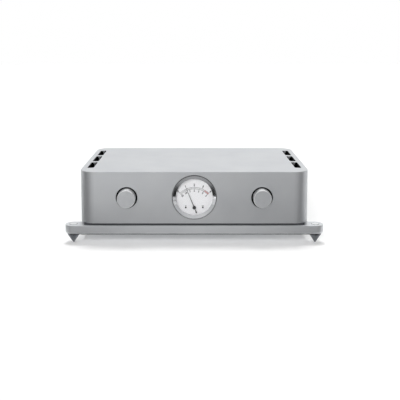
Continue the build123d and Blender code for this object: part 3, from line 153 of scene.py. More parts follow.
# %% Floor
floor_glow = 0.14
floor_paint = bpy.data.materials.new("matt_floor_board")
tree = blank_tree(floor_paint)
rays = add(tree, "ShaderNodeLightPath").outputs
seen = add(tree, "ShaderNodeMath", {0: rays["Is Camera Ray"], 1: rays["Is Glossy Ray"]}, operation="MAXIMUM").outputs[0]
seen = add(tree, "ShaderNodeMath", {0: seen, 1: rays["Is Transmission Ray"]}, operation="MAXIMUM").outputs[0]
glow = add(tree, "ShaderNodeMath", {0: seen, 1: floor_glow}, operation="MULTIPLY").outputs[0]
matt = add(tree, "ShaderNodeBsdfDiffuse", {"Color": linear("#f2f2f2")}).outputs[0]
light = add(tree, "ShaderNodeEmission", {"Color": linear("#ffffff"), "Strength": glow}).outputs[0]
both = add(tree, "ShaderNodeAddShader", {0: matt, 1: light}).outputs[0]
add(tree, "ShaderNodeOutputMaterial", {"Surface": both})
floor = level_board("floor", (-8, 8), (-8, 8), 0.0, 8, floor_paint)

# %% [markdown]
# The world is the room beyond the floor. The lens and the glass see a plain white backdrop there, and matt surfaces
# get a dim even light from it. Metal mirrors the room itself: white overhead, dimmer in front of the object, behind
# the camera, and nearly black at both sides, as in a studio with black cloth there. Satin metal shows this: it darkens
# where it turns towards the room.

# %% World
matt_light, overhead_light, backdrop_light = 0.38, 1.05, 1.0
overhead_from, overhead_full = 0.6, 0.8
# Pairs of azimuth in degrees and light: 0 is the front and 90 the right. The back is at both ends of the ramp.
room_light = [(-130, 0.8), (-113, 0.6), (-97, 0.15), (-72, 0.07), (-52, 0.35), (-36, 0.65), (-18, 0.82), (10, 0.78),
              (38, 0.6), (50, 0.15), (72, 0.12), (93, 0.6), (115, 0.8)]
world = bpy.data.worlds.new("studio")
scene.world = world
tree = blank_tree(world)
way = add(tree, "ShaderNodeSeparateXYZ", {0: add(tree, "ShaderNodeTexCoord").outputs["Generated"]}).outputs
back = add(tree, "ShaderNodeMath", {0: way["Y"], 1: -1.0}, operation="MULTIPLY").outputs[0]
turn = add(tree, "ShaderNodeMath", {0: way["X"], 1: back}, operation="ARCTAN2").outputs[0]
turn = add(tree, "ShaderNodeMath", {0: turn, 1: 1 / math.tau, 2: 0.5}, operation="MULTIPLY_ADD").outputs[0]
room = add(tree, "ShaderNodeValToRGB", {0: turn}, [(0.5 + degrees / 360, grey(level)) for degrees, level in room_light])
overhead = add(tree, "ShaderNodeMapRange", {0: way["Z"], 1: overhead_from, 2: overhead_full}).outputs[0]
room = add(tree, "ShaderNodeMix", {0: overhead, 6: room.outputs[0], 7: grey(overhead_light)}, data_type="RGBA")
rays = add(tree, "ShaderNodeLightPath").outputs
mirror = add(tree, "ShaderNodeMix", {0: rays["Is Glossy Ray"], 6: grey(matt_light), 7: room.outputs[2]},
             data_type="RGBA").outputs[2]
open_view = add(tree, "ShaderNodeMath", {0: rays["Is Camera Ray"], 1: rays["Is Transmission Ray"]}, operation="MAXIMUM")
view = add(tree, "ShaderNodeMix", {0: open_view.outputs[0], 6: mirror, 7: grey(backdrop_light)}, data_type="RGBA")
light = add(tree, "ShaderNodeBackground", {"Color": view.outputs[2]}).outputs[0]
add(tree, "ShaderNodeOutputWorld", {"Surface": light})
scene.view_settings.view_transform = "Standard"
print("world:", len(room_light), "directions in the room, matt surfaces get", matt_light)

# %% [markdown]
# Broad lamps light the object, as large softboxes do: one at the front left, whose soft shadow falls to the right and
# behind, and one nearly overhead, which keeps the shadow close under the plate. A mirror finish would show both as
# bright spots, so they light only what is matt. The rear softbox does the opposite: it gives the metal its gleam from
# behind and casts nothing. In Blender, ray visibility on the lamp splits the two.

# %% Lamps
def softbox(name, share, turn, height, spread):
    """A sun lamp from azimuth turn (0 is the front) and elevation height; share is what it adds to a level white."""
    data = bpy.data.lights.new(name, "SUN")
    data.energy = share * math.pi / math.sin(math.radians(height))
    data.angle = math.radians(spread)
    lamp = bpy.data.objects.new(name, data)
    lamp.rotation_euler = (math.radians(90 - height), 0.0, math.radians(turn))
    scene.collection.objects.link(lamp)
    print(name, "adds", share, "of white")
    return lamp


front_softbox = softbox("front_softbox", share=0.23, turn=-16, height=28, spread=20)
rear_softbox = softbox("rear_softbox", share=0.13, turn=170, height=58, spread=45)
top_softbox = softbox("top_softbox", share=0.46, turn=180, height=77, spread=20)
front_softbox.visible_glossy = top_softbox.visible_glossy = False
rear_softbox.visible_diffuse = False

# %% [markdown]
# What metal does mirror is the room, so a photographer lays paper cards round it. Here they lie on the floor in front.
# The lens and the lamps pass through them, and only metal and glass show them. The paper is drawn as a surface that
# gives light, so that its tone is the same under any lamp.

# %% A paper card
def paper_card(name, x_span, y_span, height, shade):
    """A level card over x_span and y_span. shade(tree, spot) gives the colour of its light from its own coordinates."""
    paper = bpy.data.materials.new(name)
    tree = blank_tree(paper)
    colour = shade(tree, add(tree, "ShaderNodeTexCoord").outputs["Object"])
    light = add(tree, "ShaderNodeEmission", {"Color": colour}).outputs[0]
    add(tree, "ShaderNodeOutputMaterial", {"Surface": light})
    card = level_board(name, x_span, y_span, height, 4, paper)
    card.visible_camera = card.visible_diffuse = card.visible_shadow = card.visible_transmission = False


# %% [markdown]
# The far card starts 0.4 m in front of the object's middle and reaches past the camera. It is graded by the direction
# in which the object sees it, and palest a little left of the middle, so the front is lighter at its upper left.

# %% Far card
# Pairs of place and light over the directions from 45 degrees left to 45 degrees right.
far_light = [(0.0, 0.8), (0.2, 0.85), (0.25, 2.3), (0.33, 1.75), (0.42, 0.88), (0.5, 0.62), (0.78, 0.68), (0.83, 0.8)]


def graded(tree, spot):
    """far_light over the angle of (x, -y), which is 0 straight in front of the object."""
    part = add(tree, "ShaderNodeSeparateXYZ", {0: spot}).outputs
    away = add(tree, "ShaderNodeMath", {0: part["Y"], 1: -1.0}, operation="MULTIPLY").outputs[0]
    angle = add(tree, "ShaderNodeMath", {0: part["X"], 1: away}, operation="ARCTAN2").outputs[0]
    share = add(tree, "ShaderNodeMapRange", {0: angle, 1: -math.pi / 4, 2: math.pi / 4}).outputs[0]
    return add(tree, "ShaderNodeValToRGB", {0: share}, [(place, grey(level)) for place, level in far_light]).outputs[0]


paper_card("far_card", (-2.4, 2.4), (-3.6, -0.4), 2 * mm, graded)

# %% [markdown]
# The near card is dimmer next to the plate and at its sides. It has two dark streaks that run away from the object,
# and the upper half of the bezel picks them up.

# %% Near card
streak_start, streak_way, streak_side = (0.03, 0.235, 0.0), (0.675, 0.738, 0.0), (0.738, -0.675, 0.0)
streak_light = [(0.13, 0.45), (0.36, 0.36), (0.53, 0.1), (0.8, 0.027)]
# Inputs of Map Range nodes: sockets 1 and 2 are two distances in metres, 3 and 4 the light at each of them.
streak_length, streak_width, outer_part = {1: -0.05, 2: 0.15}, {1: 0.036, 2: 0.05}, {1: 0.1, 2: 0.22}
side_light, middle_light = {1: 0.26, 2: 0.31, 3: 0.16, 4: 0.66}, {1: 0.25, 2: 0.3, 3: 0.42, 4: 0.86}


def streaked(tree, spot):
    """Paler away from the object and towards the middle, with a streak from (+-30, -235) to (+-190, -410) mm."""
    fold = add(tree, "ShaderNodeVectorMath", {0: spot}, operation="ABSOLUTE").outputs[0]
    arm = add(tree, "ShaderNodeVectorMath", {0: fold, 1: streak_start}, operation="SUBTRACT").outputs[0]
    along = add(tree, "ShaderNodeVectorMath", {0: arm, 1: streak_way}, operation="DOT_PRODUCT").outputs["Value"]
    aside = add(tree, "ShaderNodeVectorMath", {0: arm, 1: streak_side}, operation="DOT_PRODUCT").outputs["Value"]
    aside = add(tree, "ShaderNodeMath", {0: aside}, operation="ABSOLUTE").outputs[0]
    edge = add(tree, "ShaderNodeMapRange", {0: aside, **streak_width}).outputs[0]
    share = add(tree, "ShaderNodeMapRange", {0: along, **streak_length}).outputs[0]
    dark = add(tree, "ShaderNodeValToRGB", {0: share}, [(place, grey(level)) for place, level in streak_light])
    part = add(tree, "ShaderNodeSeparateXYZ", {0: fold}).outputs
    outer = add(tree, "ShaderNodeMapRange", {0: part["X"], **outer_part}).outputs[0]
    side = add(tree, "ShaderNodeMapRange", {0: part["Y"], **side_light}).outputs[0]
    middle = add(tree, "ShaderNodeMapRange", {0: part["Y"], **middle_light}).outputs[0]
    pale = add(tree, "ShaderNodeMix", {0: outer, 6: middle, 7: side}, data_type="RGBA").outputs[2]
    return add(tree, "ShaderNodeMix", {0: edge, 6: dark.outputs[0], 7: pale}, data_type="RGBA").outputs[2]


paper_card("near_card", (-0.33, 0.33), (-0.4, -0.15), 2 * mm, streaked)

# %% [markdown]
# The side cards are black, as the flags are that a photographer stands beside bright metal. They draw the dark bands
# down the rounded corners of the case.

# %% Side cards
def black(tree, spot):
    """Nearly black, with a faint cloud of about 170 mm."""
    cloud = add(tree, "ShaderNodeTexNoise", {"Vector": spot, "Scale": 6.0}).outputs[0]
    share = add(tree, "ShaderNodeMapRange", {0: cloud}).outputs[0]
    return add(tree, "ShaderNodeValToRGB", {0: share}, [(0.0, grey(0.06)), (1.0, grey(0.09))]).outputs[0]


paper_card("left_card", (-1.2, -0.33), (-0.5, -0.02), 3 * mm, black)
paper_card("right_card", (0.33, 1.2), (-0.66, -0.14), 3 * mm, black)

# %% [markdown]
# Nearly every finish here has the same build: two close tones in broad soft patches, a fine grain that moves the
# roughness, and a low relief of the same grain. What differs is the size of each, and some finishes add marks of their
# own, such as the rings of a lathe tool. A finish can also have painted shade in near black on part of the piece, a
# painted highlight in white on another part with a smoother roughness there, gloss that is drawn out along one
# direction, and rounded edges: the Bevel node bends the shading at an edge without a change to the mesh. Sizes are in
# millimetres, and all patterns read Object coordinates, so they stay fixed to the piece when it moves. The real grain
# of these surfaces is mostly under 0.1 mm and would vanish at this picture size, so it is drawn as 0.3 to 2 mm. Metals,
# paints and plastics all keep the default IOR of 1.5.

# %% A finish
noise_low, noise_high = 0.3, 0.7
# The first colour is the near black of painted shade, the second the white of a painted highlight.
painted_shade_colour, highlight_colour, smooth_edge_roughness, gloss_stretch = "#141517", "#f6f7f8", 0.38, 0.8


def finish(name, light, dark, metallic, rough, patch, grain, relief, marks=None, marks_relief=0.0, marks_tone=0.0,
           painted_shade=None, highlight_and_smooth=None, spread=None, bevel=0.0):
    """Principled shader: tone = dark to light by a noise of size patch, roughness and bump by a noise of size grain.

    marks(tree, spot) is a pattern with a relief of its own, and marks_tone is its share in the tone. A shade mask
    paints shade in near black. A highlight function gives a painted highlight mask in white and a mask for a smoother
    roughness. spread is the direction in which the gloss is drawn out, and bevel is the radius to which edges are
    rounded.
    """
    material = bpy.data.materials.new(name)
    tree = blank_tree(material)
    spot = add(tree, "ShaderNodeTexCoord").outputs["Object"]
    cloud = add(tree, "ShaderNodeTexNoise", {"Vector": spot, "Scale": 1000 / patch, "Detail": 3.0}).outputs[0]
    grit = add(tree, "ShaderNodeTexNoise", {"Vector": spot, "Scale": 1000 / grain, "Detail": 1.0}).outputs[0]
    tone = add(tree, "ShaderNodeMapRange", {0: cloud, 1: noise_low, 2: noise_high}).outputs[0]
    matt = add(tree, "ShaderNodeMapRange", {0: grit, 1: noise_low, 2: noise_high, 3: rough[0], 4: rough[1]}).outputs[0]
    bump = {"Height": grit, "Distance": relief * mm}
    if bevel:
        bump["Normal"] = add(tree, "ShaderNodeBevel", {"Radius": bevel * mm}, samples=6).outputs[0]
    normal = add(tree, "ShaderNodeBump", bump).outputs[0]
    if marks:
        line = marks(tree, spot)
        bump = {"Height": line, "Distance": marks_relief * mm, "Normal": normal}
        normal = add(tree, "ShaderNodeBump", bump).outputs[0]
        tone = add(tree, "ShaderNodeMix", {0: marks_tone, 2: tone, 3: line}).outputs[0]
    colour = add(tree, "ShaderNodeMix", {0: tone, 6: linear(dark), 7: linear(light)}, data_type="RGBA").outputs[2]
    # Painted shade: the mask mixes the colour towards near black.
    if painted_shade:
        shade_mix = {0: painted_shade(tree, spot), 6: colour, 7: linear(painted_shade_colour)}
        colour = add(tree, "ShaderNodeMix", shade_mix, data_type="RGBA").outputs[2]
    # Painted highlight: the first mask mixes the colour towards white, and the second makes the roughness smoother.
    if highlight_and_smooth:
        bright, smooth = highlight_and_smooth(tree, spot)
        colour = add(tree, "ShaderNodeMix", {0: bright, 6: colour, 7: linear(highlight_colour)}, data_type="RGBA").outputs[2]
        matt = add(tree, "ShaderNodeMix", {0: smooth, 2: matt, 3: smooth_edge_roughness}).outputs[0]
    body = {"Base Color": colour, "Metallic": metallic, "Roughness": matt, "Normal": normal}
    if spread:
        body["Tangent"] = add(tree, "ShaderNodeCombineXYZ", dict(enumerate(spread))).outputs[0]
        body["Anisotropic"] = gloss_stretch
    add(tree, "ShaderNodeOutputMaterial", {"Surface": add(tree, "ShaderNodeBsdfPrincipled", body).outputs[0]})
    return material


# %% [markdown]
# A solid of the frame is never moved or reshaped here. It gets its finish through the material slot of its own mesh,
# so it keeps its place, its shape and the body that it turns or slides with.

# %% Dressing a solid
def dress(material, *names):
    """Gives CAD nodes a finish through their own material slots."""
    for name in names:
        mesh = nodes[name].data
        mesh.materials.clear()
        mesh.materials.append(material)
    print(material.name, "on", ", ".join(names))


# %% [markdown]
# Some finishes change at a line, such as the painted shade on the rim of a ring or the painted highlight on the outer
# edge of a knob. The line is where the distance from an axis passes a value. Pieces that stand in mirrored places,
# such as the two knobs or the four spikes, share one axis once the signs of their coordinates are dropped.

# %% Distance from an axis
around_y, around_z = (1.0, 0.0, 1.0), (1.0, 1.0, 0.0)


def mirrored_offset(tree, spot, centre):
    """|point| - centre, which is the same for all points in mirrored places."""
    fold = add(tree, "ShaderNodeVectorMath", {0: spot}, operation="ABSOLUTE").outputs[0]
    return add(tree, "ShaderNodeVectorMath", {0: fold, 1: centre}, operation="SUBTRACT").outputs[0]


def length_across(tree, offset, around):
    """The length of an offset once its part along the axis is multiplied by 0."""
    across = add(tree, "ShaderNodeVectorMath", {0: offset, 1: around}, operation="MULTIPLY").outputs[0]
    return add(tree, "ShaderNodeVectorMath", {0: across}, operation="LENGTH").outputs["Value"]


def beyond(limit, centre, around):
    """A mask that is 1 farther than limit in mm from the axis through centre, and 0 nearer to it."""
    def mask(tree, spot):
        radius = length_across(tree, mirrored_offset(tree, spot, centre), around)
        return add(tree, "ShaderNodeMath", {0: radius, 1: limit * mm}, operation="GREATER_THAN").outputs[0]
    return mask


# %% [markdown]
# The inside of the case is painted matt black, a painted shade. It darkens the vent slots, and also everything more
# than 4.5 mm behind the outer walls, which takes in the floors of the knobs' recesses. The black reaches up into the
# vent slots nearly to their top edge. It leaves a lighter wedge of bare metal on the rear end of each one, a painted
# patch of light where light falls on the end wall. It is drawn as a mask on the case's own finish, because case and
# inside are one solid.

# %% Painted shade inside the case
case_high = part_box("housing")[1]
corner_r, shade_depth, shade_top = 28 * mm, 4.5 * mm, 0.8 * mm
slot_x, slot_rear_y, slot_pitch = case_high[0] - 15.6 * mm, -36 * mm, 69 * mm
wedge_width, wedge_depth, wedge_reach = 4.0, 8.5, 2.0


# Painted light: a lighter wedge of bare metal on each slot's rear end stands in for light falling there.
def painted_lit_wedge(tree, spot):
    """A painted patch of light: 1 where |x - slot_x| + depth x 4 / 8.5 is under 3.2 mm, 0 over 4 mm or farther than 2
    mm from a slot's end.
    """
    fold = add(tree, "ShaderNodeVectorMath", {0: spot}, operation="ABSOLUTE").outputs[0]
    across = add(tree, "ShaderNodeSeparateXYZ", {0: fold}).outputs["X"]
    aside = add(tree, "ShaderNodeMath", {0: across, 1: slot_x}, operation="SUBTRACT").outputs[0]
    aside = add(tree, "ShaderNodeMath", {0: aside}, operation="ABSOLUTE").outputs[0]
    part = add(tree, "ShaderNodeSeparateXYZ", {0: spot}).outputs
    depth = add(tree, "ShaderNodeMath", {0: case_high[2], 1: part["Z"]}, operation="SUBTRACT").outputs[0]
    slope = {0: depth, 1: wedge_width / wedge_depth, 2: aside}
    fall = add(tree, "ShaderNodeMath", slope, operation="MULTIPLY_ADD").outputs[0]
    wedge = add(tree, "ShaderNodeMapRange", {0: fall, 1: wedge_width * mm, 2: 0.8 * wedge_width * mm}).outputs[0]
    step = add(tree, "ShaderNodeMath", {0: part["Y"], 1: slot_rear_y - slot_pitch / 2}, operation="SUBTRACT").outputs[0]
    step = add(tree, "ShaderNodeMath", {0: step, 1: slot_pitch}, operation="FLOORED_MODULO").outputs[0]
    step = add(tree, "ShaderNodeMath", {0: step, 1: slot_pitch / 2}, operation="SUBTRACT").outputs[0]
    step = add(tree, "ShaderNodeMath", {0: step}, operation="ABSOLUTE").outputs[0]
    near = add(tree, "ShaderNodeMath", {0: step, 1: wedge_reach * mm}, operation="LESS_THAN").outputs[0]
    return add(tree, "ShaderNodeMath", {0: wedge, 1: near}, operation="MULTIPLY").outputs[0]


# Painted shade: black inside the case, in the vent slots and in the knobs' recesses stands in for their shade.
def painted_shade_inside_case(tree, spot):
    """Painted shade: 1 more than 4.5 mm behind the rounded sides and more than 0.8 mm below the top, less the lit
    wedges.
    """
    corner = (case_high[0] - corner_r, case_high[1] - corner_r, 0.0)
    arm = mirrored_offset(tree, spot, corner)
    arm = add(tree, "ShaderNodeVectorMath", {0: arm, 1: (0.0, 0.0, 0.0)}, operation="MAXIMUM").outputs[0]
    reach = length_across(tree, arm, around_z)
    deep = add(tree, "ShaderNodeMath", {0: reach, 1: corner_r - shade_depth}, operation="LESS_THAN").outputs[0]
    height = add(tree, "ShaderNodeSeparateXYZ", {0: spot}).outputs["Z"]
    low = add(tree, "ShaderNodeMath", {0: height, 1: case_high[2] - shade_top}, operation="LESS_THAN").outputs[0]
    painted_shade = add(tree, "ShaderNodeMath", {0: deep, 1: low}, operation="MULTIPLY").outputs[0]
    lit_wedge = painted_lit_wedge(tree, spot)
    return add(tree, "ShaderNodeMath", {0: painted_shade, 1: lit_wedge}, operation="SUBTRACT", use_clamp=True).outputs[0]


print("the coat ends", round(shade_top / mm, 1), "mm under the case's top at", round(case_high[2] / mm, 1), "mm")

# %% [markdown]
# The case and the base plate are aluminium, blasted with fine glass beads and then clear anodised. The beads leave
# dimples of about 0.1 mm, far too fine to see one by one, which is why the metal has no mirror image but a broad satin
# gleam. The grain is drawn at 1.6 mm, so that a trace of it shows. A thin second tone stands for the slight clouding
# of the anodised layer, and blasting also takes the sharpness off the edges. A dark line of painted shade runs along
# the plate's rounded lower edge, which faces down. The rear panel is rolled sheet, anodised without blasting, so it is
# smoother and a bit darker.

# %% Blasted and anodised aluminium
plate_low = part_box("base_plate")[0][2]
underside, line_full, line_end = 0.1, 1.8, 3.0


# Painted shade: a dark line along the plate's rounded lower edge, which faces down.
def painted_shade_lower_edge(tree, spot):
    """Painted shade: 1 on the rounded lower edge up to 1.8 mm above the underside, falling to 0 at 3 mm, and 0 on the
    underside.
    """
    height = add(tree, "ShaderNodeSeparateXYZ", {0: spot}).outputs["Z"]
    span = {0: height, 1: plate_low + line_end * mm, 2: plate_low + line_full * mm}
    fall = add(tree, "ShaderNodeMapRange", span).outputs[0]
    above = add(tree, "ShaderNodeMath", {0: height, 1: plate_low + underside * mm}, operation="GREATER_THAN").outputs[0]
    return add(tree, "ShaderNodeMath", {0: fall, 1: above}, operation="MULTIPLY").outputs[0]


dress(finish("bead_blasted_anodised_aluminium", "#d1d3d5", "#cbcdd0", 1.0, (0.50, 0.58), patch=60, grain=1.6,
             relief=0.012, painted_shade=painted_shade_inside_case, bevel=0.8), "housing")
dress(finish("bead_blasted_anodised_plate", "#e2e4e6", "#dcdee1", 1.0, (0.50, 0.58), patch=60, grain=1.6,
             relief=0.012, painted_shade=painted_shade_lower_edge, bevel=0.5), "base_plate")
dress(finish("anodised_aluminium_sheet", "#c9cbce", "#c1c3c6", 1.0, (0.38, 0.46), patch=45, grain=1.2, relief=0.008),
      "rear_panel")

# %% [markdown]
# Knobs, spikes and bushes are turned on a lathe. The tool leaves fine rings about the axis on a face, and rings along
# the axis on a side. Their phase is the distance from the axis plus the distance along it. The real feed is about
# 0.1 mm a turn; here it is drawn at about 1 mm, so that it shows at all.

# %% Rings of the lathe
def rings(centre, pitch, along="Y"):
    """A sine of (distance from the axis + distance along it) over the pitch, about an axis through centre."""
    def marks(tree, spot):
        offset = mirrored_offset(tree, spot, centre)
        radius = length_across(tree, offset, around_y if along == "Y" else around_z)
        depth = add(tree, "ShaderNodeSeparateXYZ", {0: offset}).outputs[along]
        path = add(tree, "ShaderNodeMath", {0: radius, 1: depth}, operation="ADD").outputs[0]
        phase = add(tree, "ShaderNodeMath", {0: path, 1: math.tau / (pitch * mm)}, operation="MULTIPLY").outputs[0]
        wave = add(tree, "ShaderNodeMath", {0: phase}, operation="SINE").outputs[0]
        return add(tree, "ShaderNodeMath", {0: wave, 1: 0.5, 2: 0.5}, operation="MULTIPLY_ADD").outputs[0]
    return marks


# %% [markdown]
# The knobs are solid aluminium with a satin face. Light runs across the rings of the lathe, so their gloss is drawn
# out. The side and the rounded edge are painted brighter than the face, a painted highlight, and the edge is smoother.

# %% Knobs
knob_axis = [abs(v) for v in joints["volume_turn"]["pos_m"]]
knob_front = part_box("volume_knob")[0][1]
edge_band_from, edge_band_full, smooth_back = 15.4, 15.8, 2.0


# Painted highlight: the knobs' side and rounded edge are lighter in colour for the light that falls on them.
def highlight_and_smooth_edge(tree, spot):
    """Two masks beyond 15.4 to 15.8 mm from a knob's axis: a painted highlight along the whole side, smoother 2 mm from
    the front.
    """
    radius = length_across(tree, mirrored_offset(tree, spot, knob_axis), around_y)
    bright = add(tree, "ShaderNodeMapRange", {0: radius, 1: edge_band_from * mm, 2: edge_band_full * mm}).outputs[0]
    depth = add(tree, "ShaderNodeSeparateXYZ", {0: spot}).outputs["Y"]
    near = add(tree, "ShaderNodeMath", {0: depth, 1: knob_front + smooth_back * mm}, operation="LESS_THAN").outputs[0]
    return bright, add(tree, "ShaderNodeMath", {0: bright, 1: near}, operation="MULTIPLY").outputs[0]


dress(finish("turned_satin_aluminium", "#dcdee0", "#d2d4d7", 1.0, (0.54, 0.62), patch=12, grain=1.2, relief=0.008,
             marks=rings(knob_axis, 1.1), marks_relief=0.004, marks_tone=0.25, highlight_and_smooth=highlight_and_smooth_edge, spread=(0.0, 1.0, 1.0),
             bevel=1.6), "selector_knob", "volume_knob")

# %% [markdown]
# The spikes are steel, turned to a cone and nickel plated, so they are darker and glossier than the plate. The bushes
# above them are aluminium, faced on the lathe: pale discs, with a dark rim of painted shade where each one meets its
# seat in the ear.

# %% Spikes and bushes
spike_low, spike_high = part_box("spike_front_right")
spike_axis = [(abs(spike_low[i]) + abs(spike_high[i])) / 2 for i in (0, 1)] + [0.0]
# Painted shade: a dark rim round each bush stands in for the shade in the gap at its seat.
bush_rim_shade = beyond(6.8, spike_axis, around_z)
dress(finish("turned_nickel_plated_steel", "#85888c", "#6f7276", 1.0, (0.26, 0.36), patch=8, grain=1.0, relief=0.004,
             marks=rings(spike_axis, 1.3, "Z"), marks_relief=0.012, marks_tone=0.35),
      "spike_front_left", "spike_front_right", "spike_rear_left", "spike_rear_right")
dress(finish("faced_satin_aluminium", "#f0f1f2", "#e6e8e9", 1.0, (0.34, 0.42), patch=8, grain=1.0, relief=0.004,
             marks=rings(spike_axis, 0.9, "Z"), marks_relief=0.004, marks_tone=0.3, painted_shade=bush_rim_shade), "spike_bushes")

# %% [markdown]
# The bezel is a polished ring, plated bright. A mirror finish has next to no grain of its own: it shows the floor in
# its lower half and the dim room in its upper half. Its outermost edge is painted dark, a painted shade for the gap
# where it meets the case. Screws and shafts are zinc plated, which leaves a bright, slightly cloudy skin. The rear
# panel's screws and the dial's are black oxide steel, dark with a dull shine. Gold plate on the sockets is smooth and
# warm, and nickel on the inlet's blades is pale and warm. Inside the meter, the bridge is plain brass, yellow and a
# bit streaky, and the iron parts are ground and grey.

# %% Plated metals
meter_axis = (joints["needle_swing"]["pos_m"][0], 0.0, sum(corner[2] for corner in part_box("meter_bezel")) / 2)
# Painted shade: the bezel's outermost edge is dark for the shade in the gap round it.
bezel_rim_shade = beyond(40.6, meter_axis, around_y)
dress(finish("polished_chrome_plate", "#d5d7d9", "#cdcfd2", 1.0, (0.07, 0.11), patch=20, grain=2.0, relief=0.0005,
             painted_shade=bezel_rim_shade), "meter_bezel")
dress(finish("zinc_plated_steel", "#b2b4b6", "#9a9da0", 1.0, (0.24, 0.36), patch=5, grain=0.8, relief=0.003),
      "base_bolts", "cover_screws", "meter_clamp_ring", "selector_shaft", "volume_shaft", "control_nuts",
      "board_pillars", "transformer_clamp", "transformer_bolt")
dress(finish("black_oxide_steel", "#34363a", "#26282b", 1.0, (0.32, 0.44), patch=4, grain=0.6, relief=0.004),
      "pan_head_screws", "dial_screws")
dress(finish("gold_plated_brass", "#dcb968", "#cfa851", 1.0, (0.14, 0.22), patch=6, grain=0.8, relief=0.001),
      "rca_sockets", "rca_nuts", "socket_contacts", "ground_post", "ground_nut")
dress(finish("nickel_plated_brass", "#cfc9bb", "#bdb7aa", 1.0, (0.18, 0.28), patch=6, grain=0.8, relief=0.002),
      "inlet_blades")
dress(finish("plain_brass", "#c9a45a", "#b18c46", 1.0, (0.24, 0.36), patch=6, grain=0.8, relief=0.003),
      "front_bridge", "hairspring")
dress(finish("ground_iron", "#6c6e70", "#56585b", 1.0, (0.34, 0.46), patch=7, grain=0.8, relief=0.005),
      "meter_yoke", "meter_magnet", "meter_core")

# %% [markdown]
# The shadow gap is a dark grey anodised frame, and the bottom sheet is powder coated: baked powder melts into a skin
# with the fine waves of an orange's peel. Both are dark and matt, so that the case seems to float above the plate. The
# meter's cup and the balanced sockets have a smoother satin paint. The heat sinks are extruded and black anodised, and
# keep a little of the metal's gleam. The needle is matt black, so that no reflection blurs its place on the scale.

# %% Dark coats
dress(finish("dark_grey_anodised_aluminium", "#44464a", "#3a3c40", 0.0, (0.5, 0.62), patch=30, grain=0.9,
             relief=0.006), "plinth")
dress(finish("black_powder_coat", "#1d1e20", "#151617", 0.0, (0.42, 0.55), patch=25, grain=1.1, relief=0.05),
      "bottom_cover", "volume_control")
dress(finish("satin_black_paint", "#222326", "#17181a", 0.0, (0.34, 0.44), patch=20, grain=0.9, relief=0.02),
      "meter_case", "xlr_sockets")
dress(finish("black_anodised_extrusion", "#222427", "#191b1d", 0.6, (0.36, 0.46), patch=15, grain=0.8, relief=0.008),
      "heat_sinks")
dress(finish("matt_black_pointer", "#0f1011", "#0a0b0c", 0.0, (0.5, 0.6), patch=5, grain=0.4, relief=0.002), "needle")

# %% [markdown]
# The dial is an aluminium disc, sprayed with a pale grey-white matt paint. It sits under flat clear glass. Glass bends
# and reflects light, and it also lets the lamp's light through to the dial. Rays that look for a lamp can't bend, so
# for them the glass is made plain clear. A meter's glass has a coat against reflections, so that the print stays dark:
# its index is set to 1.25, where bare glass has 1.5. The fuse's tube is bare glass.

# %% Dial paint and glass
dress(finish("matt_dial_paint", "#e6e6e8", "#e1e1e3", 0.0, (0.55, 0.65), patch=18, grain=0.7, relief=0.004),
      "meter_dial", "glass_retainer")


def clear_glass(name, tint, grain, ior):
    """Principled glass for every ray, mixed with Transparent for the rays that look for a lamp."""
    material = bpy.data.materials.new(name)
    tree = blank_tree(material)
    spot = add(tree, "ShaderNodeTexCoord").outputs["Object"]
    wave = add(tree, "ShaderNodeTexNoise", {"Vector": spot, "Scale": 1000 / grain, "Detail": 1.0}).outputs[0]
    gloss = add(tree, "ShaderNodeMapRange", {0: wave, 1: noise_low, 2: noise_high, 3: 0.0, 4: 0.02}).outputs[0]
    body = {"Base Color": linear(tint), "Roughness": gloss, "IOR": ior, "Transmission Weight": 1.0}
    glass = add(tree, "ShaderNodeBsdfPrincipled", body).outputs[0]
    clear = add(tree, "ShaderNodeBsdfTransparent", {"Color": linear(tint)}).outputs[0]
    rays = add(tree, "ShaderNodeLightPath").outputs
    lit = add(tree, "ShaderNodeMath", {0: rays["Is Shadow Ray"], 1: rays["Is Diffuse Ray"]}, operation="MAXIMUM")
    both = add(tree, "ShaderNodeMixShader", {0: lit.outputs[0], 1: glass, 2: clear}).outputs[0]
    add(tree, "ShaderNodeOutputMaterial", {"Surface": both})
    return material


dress(clear_glass("coated_float_glass", "#fdfdfd", 25, 1.25), "meter_glass")
dress(clear_glass("fuse_tube_glass", "#f2f6f5", 8, 1.5), "fuse")

# %% [markdown]
# Behind the rear panel and inside the case are mouldings. Moulded nylon takes the fine texture of its steel mould, and
# the rocker's mould is polished, so the rocker shines. The insulators are white and red, so that left and right can be
# told apart. The rubber pads are the dullest pieces, and the silicone sleeves of the leads are nearly as dull. The
# resin that fills the modules sets with a smooth, shiny face, and the blue sleeve shrunk on the capacitors is as
# smooth. The switch's wafers are laminated paper, brown and slightly fibrous.

# %% Mouldings
dress(finish("black_moulded_nylon", "#1e1f21", "#161719", 0.0, (0.42, 0.54), patch=14, grain=0.6, relief=0.02),
      "xlr_inserts", "mains_inlet", "fuse_drawer", "power_switch")
dress(finish("gloss_moulded_rocker", "#1b1c1e", "#151617", 0.0, (0.16, 0.24), patch=12, grain=1.5, relief=0.004),
      "power_rocker")
dress(finish("white_moulded_insulator", "#e6e6e1", "#dcdcd6", 0.0, (0.28, 0.38), patch=5, grain=0.8, relief=0.004),
      "rca_insulators_left")
dress(finish("red_moulded_insulator", "#b8201d", "#a51916", 0.0, (0.28, 0.38), patch=5, grain=0.8, relief=0.004),
      "rca_insulators_right")
dress(finish("moulded_rubber", "#202123", "#18191a", 0.0, (0.6, 0.75), patch=10, grain=0.8, relief=0.02),
      "transformer_pads")
dress(finish("silicone_lead_sleeve", "#2c2d31", "#212226", 0.0, (0.4, 0.5), patch=9, grain=0.8, relief=0.004), "wiring")
dress(finish("potting_resin", "#1d1d20", "#151517", 0.0, (0.2, 0.3), patch=12, grain=1.5, relief=0.01), "gain_modules")
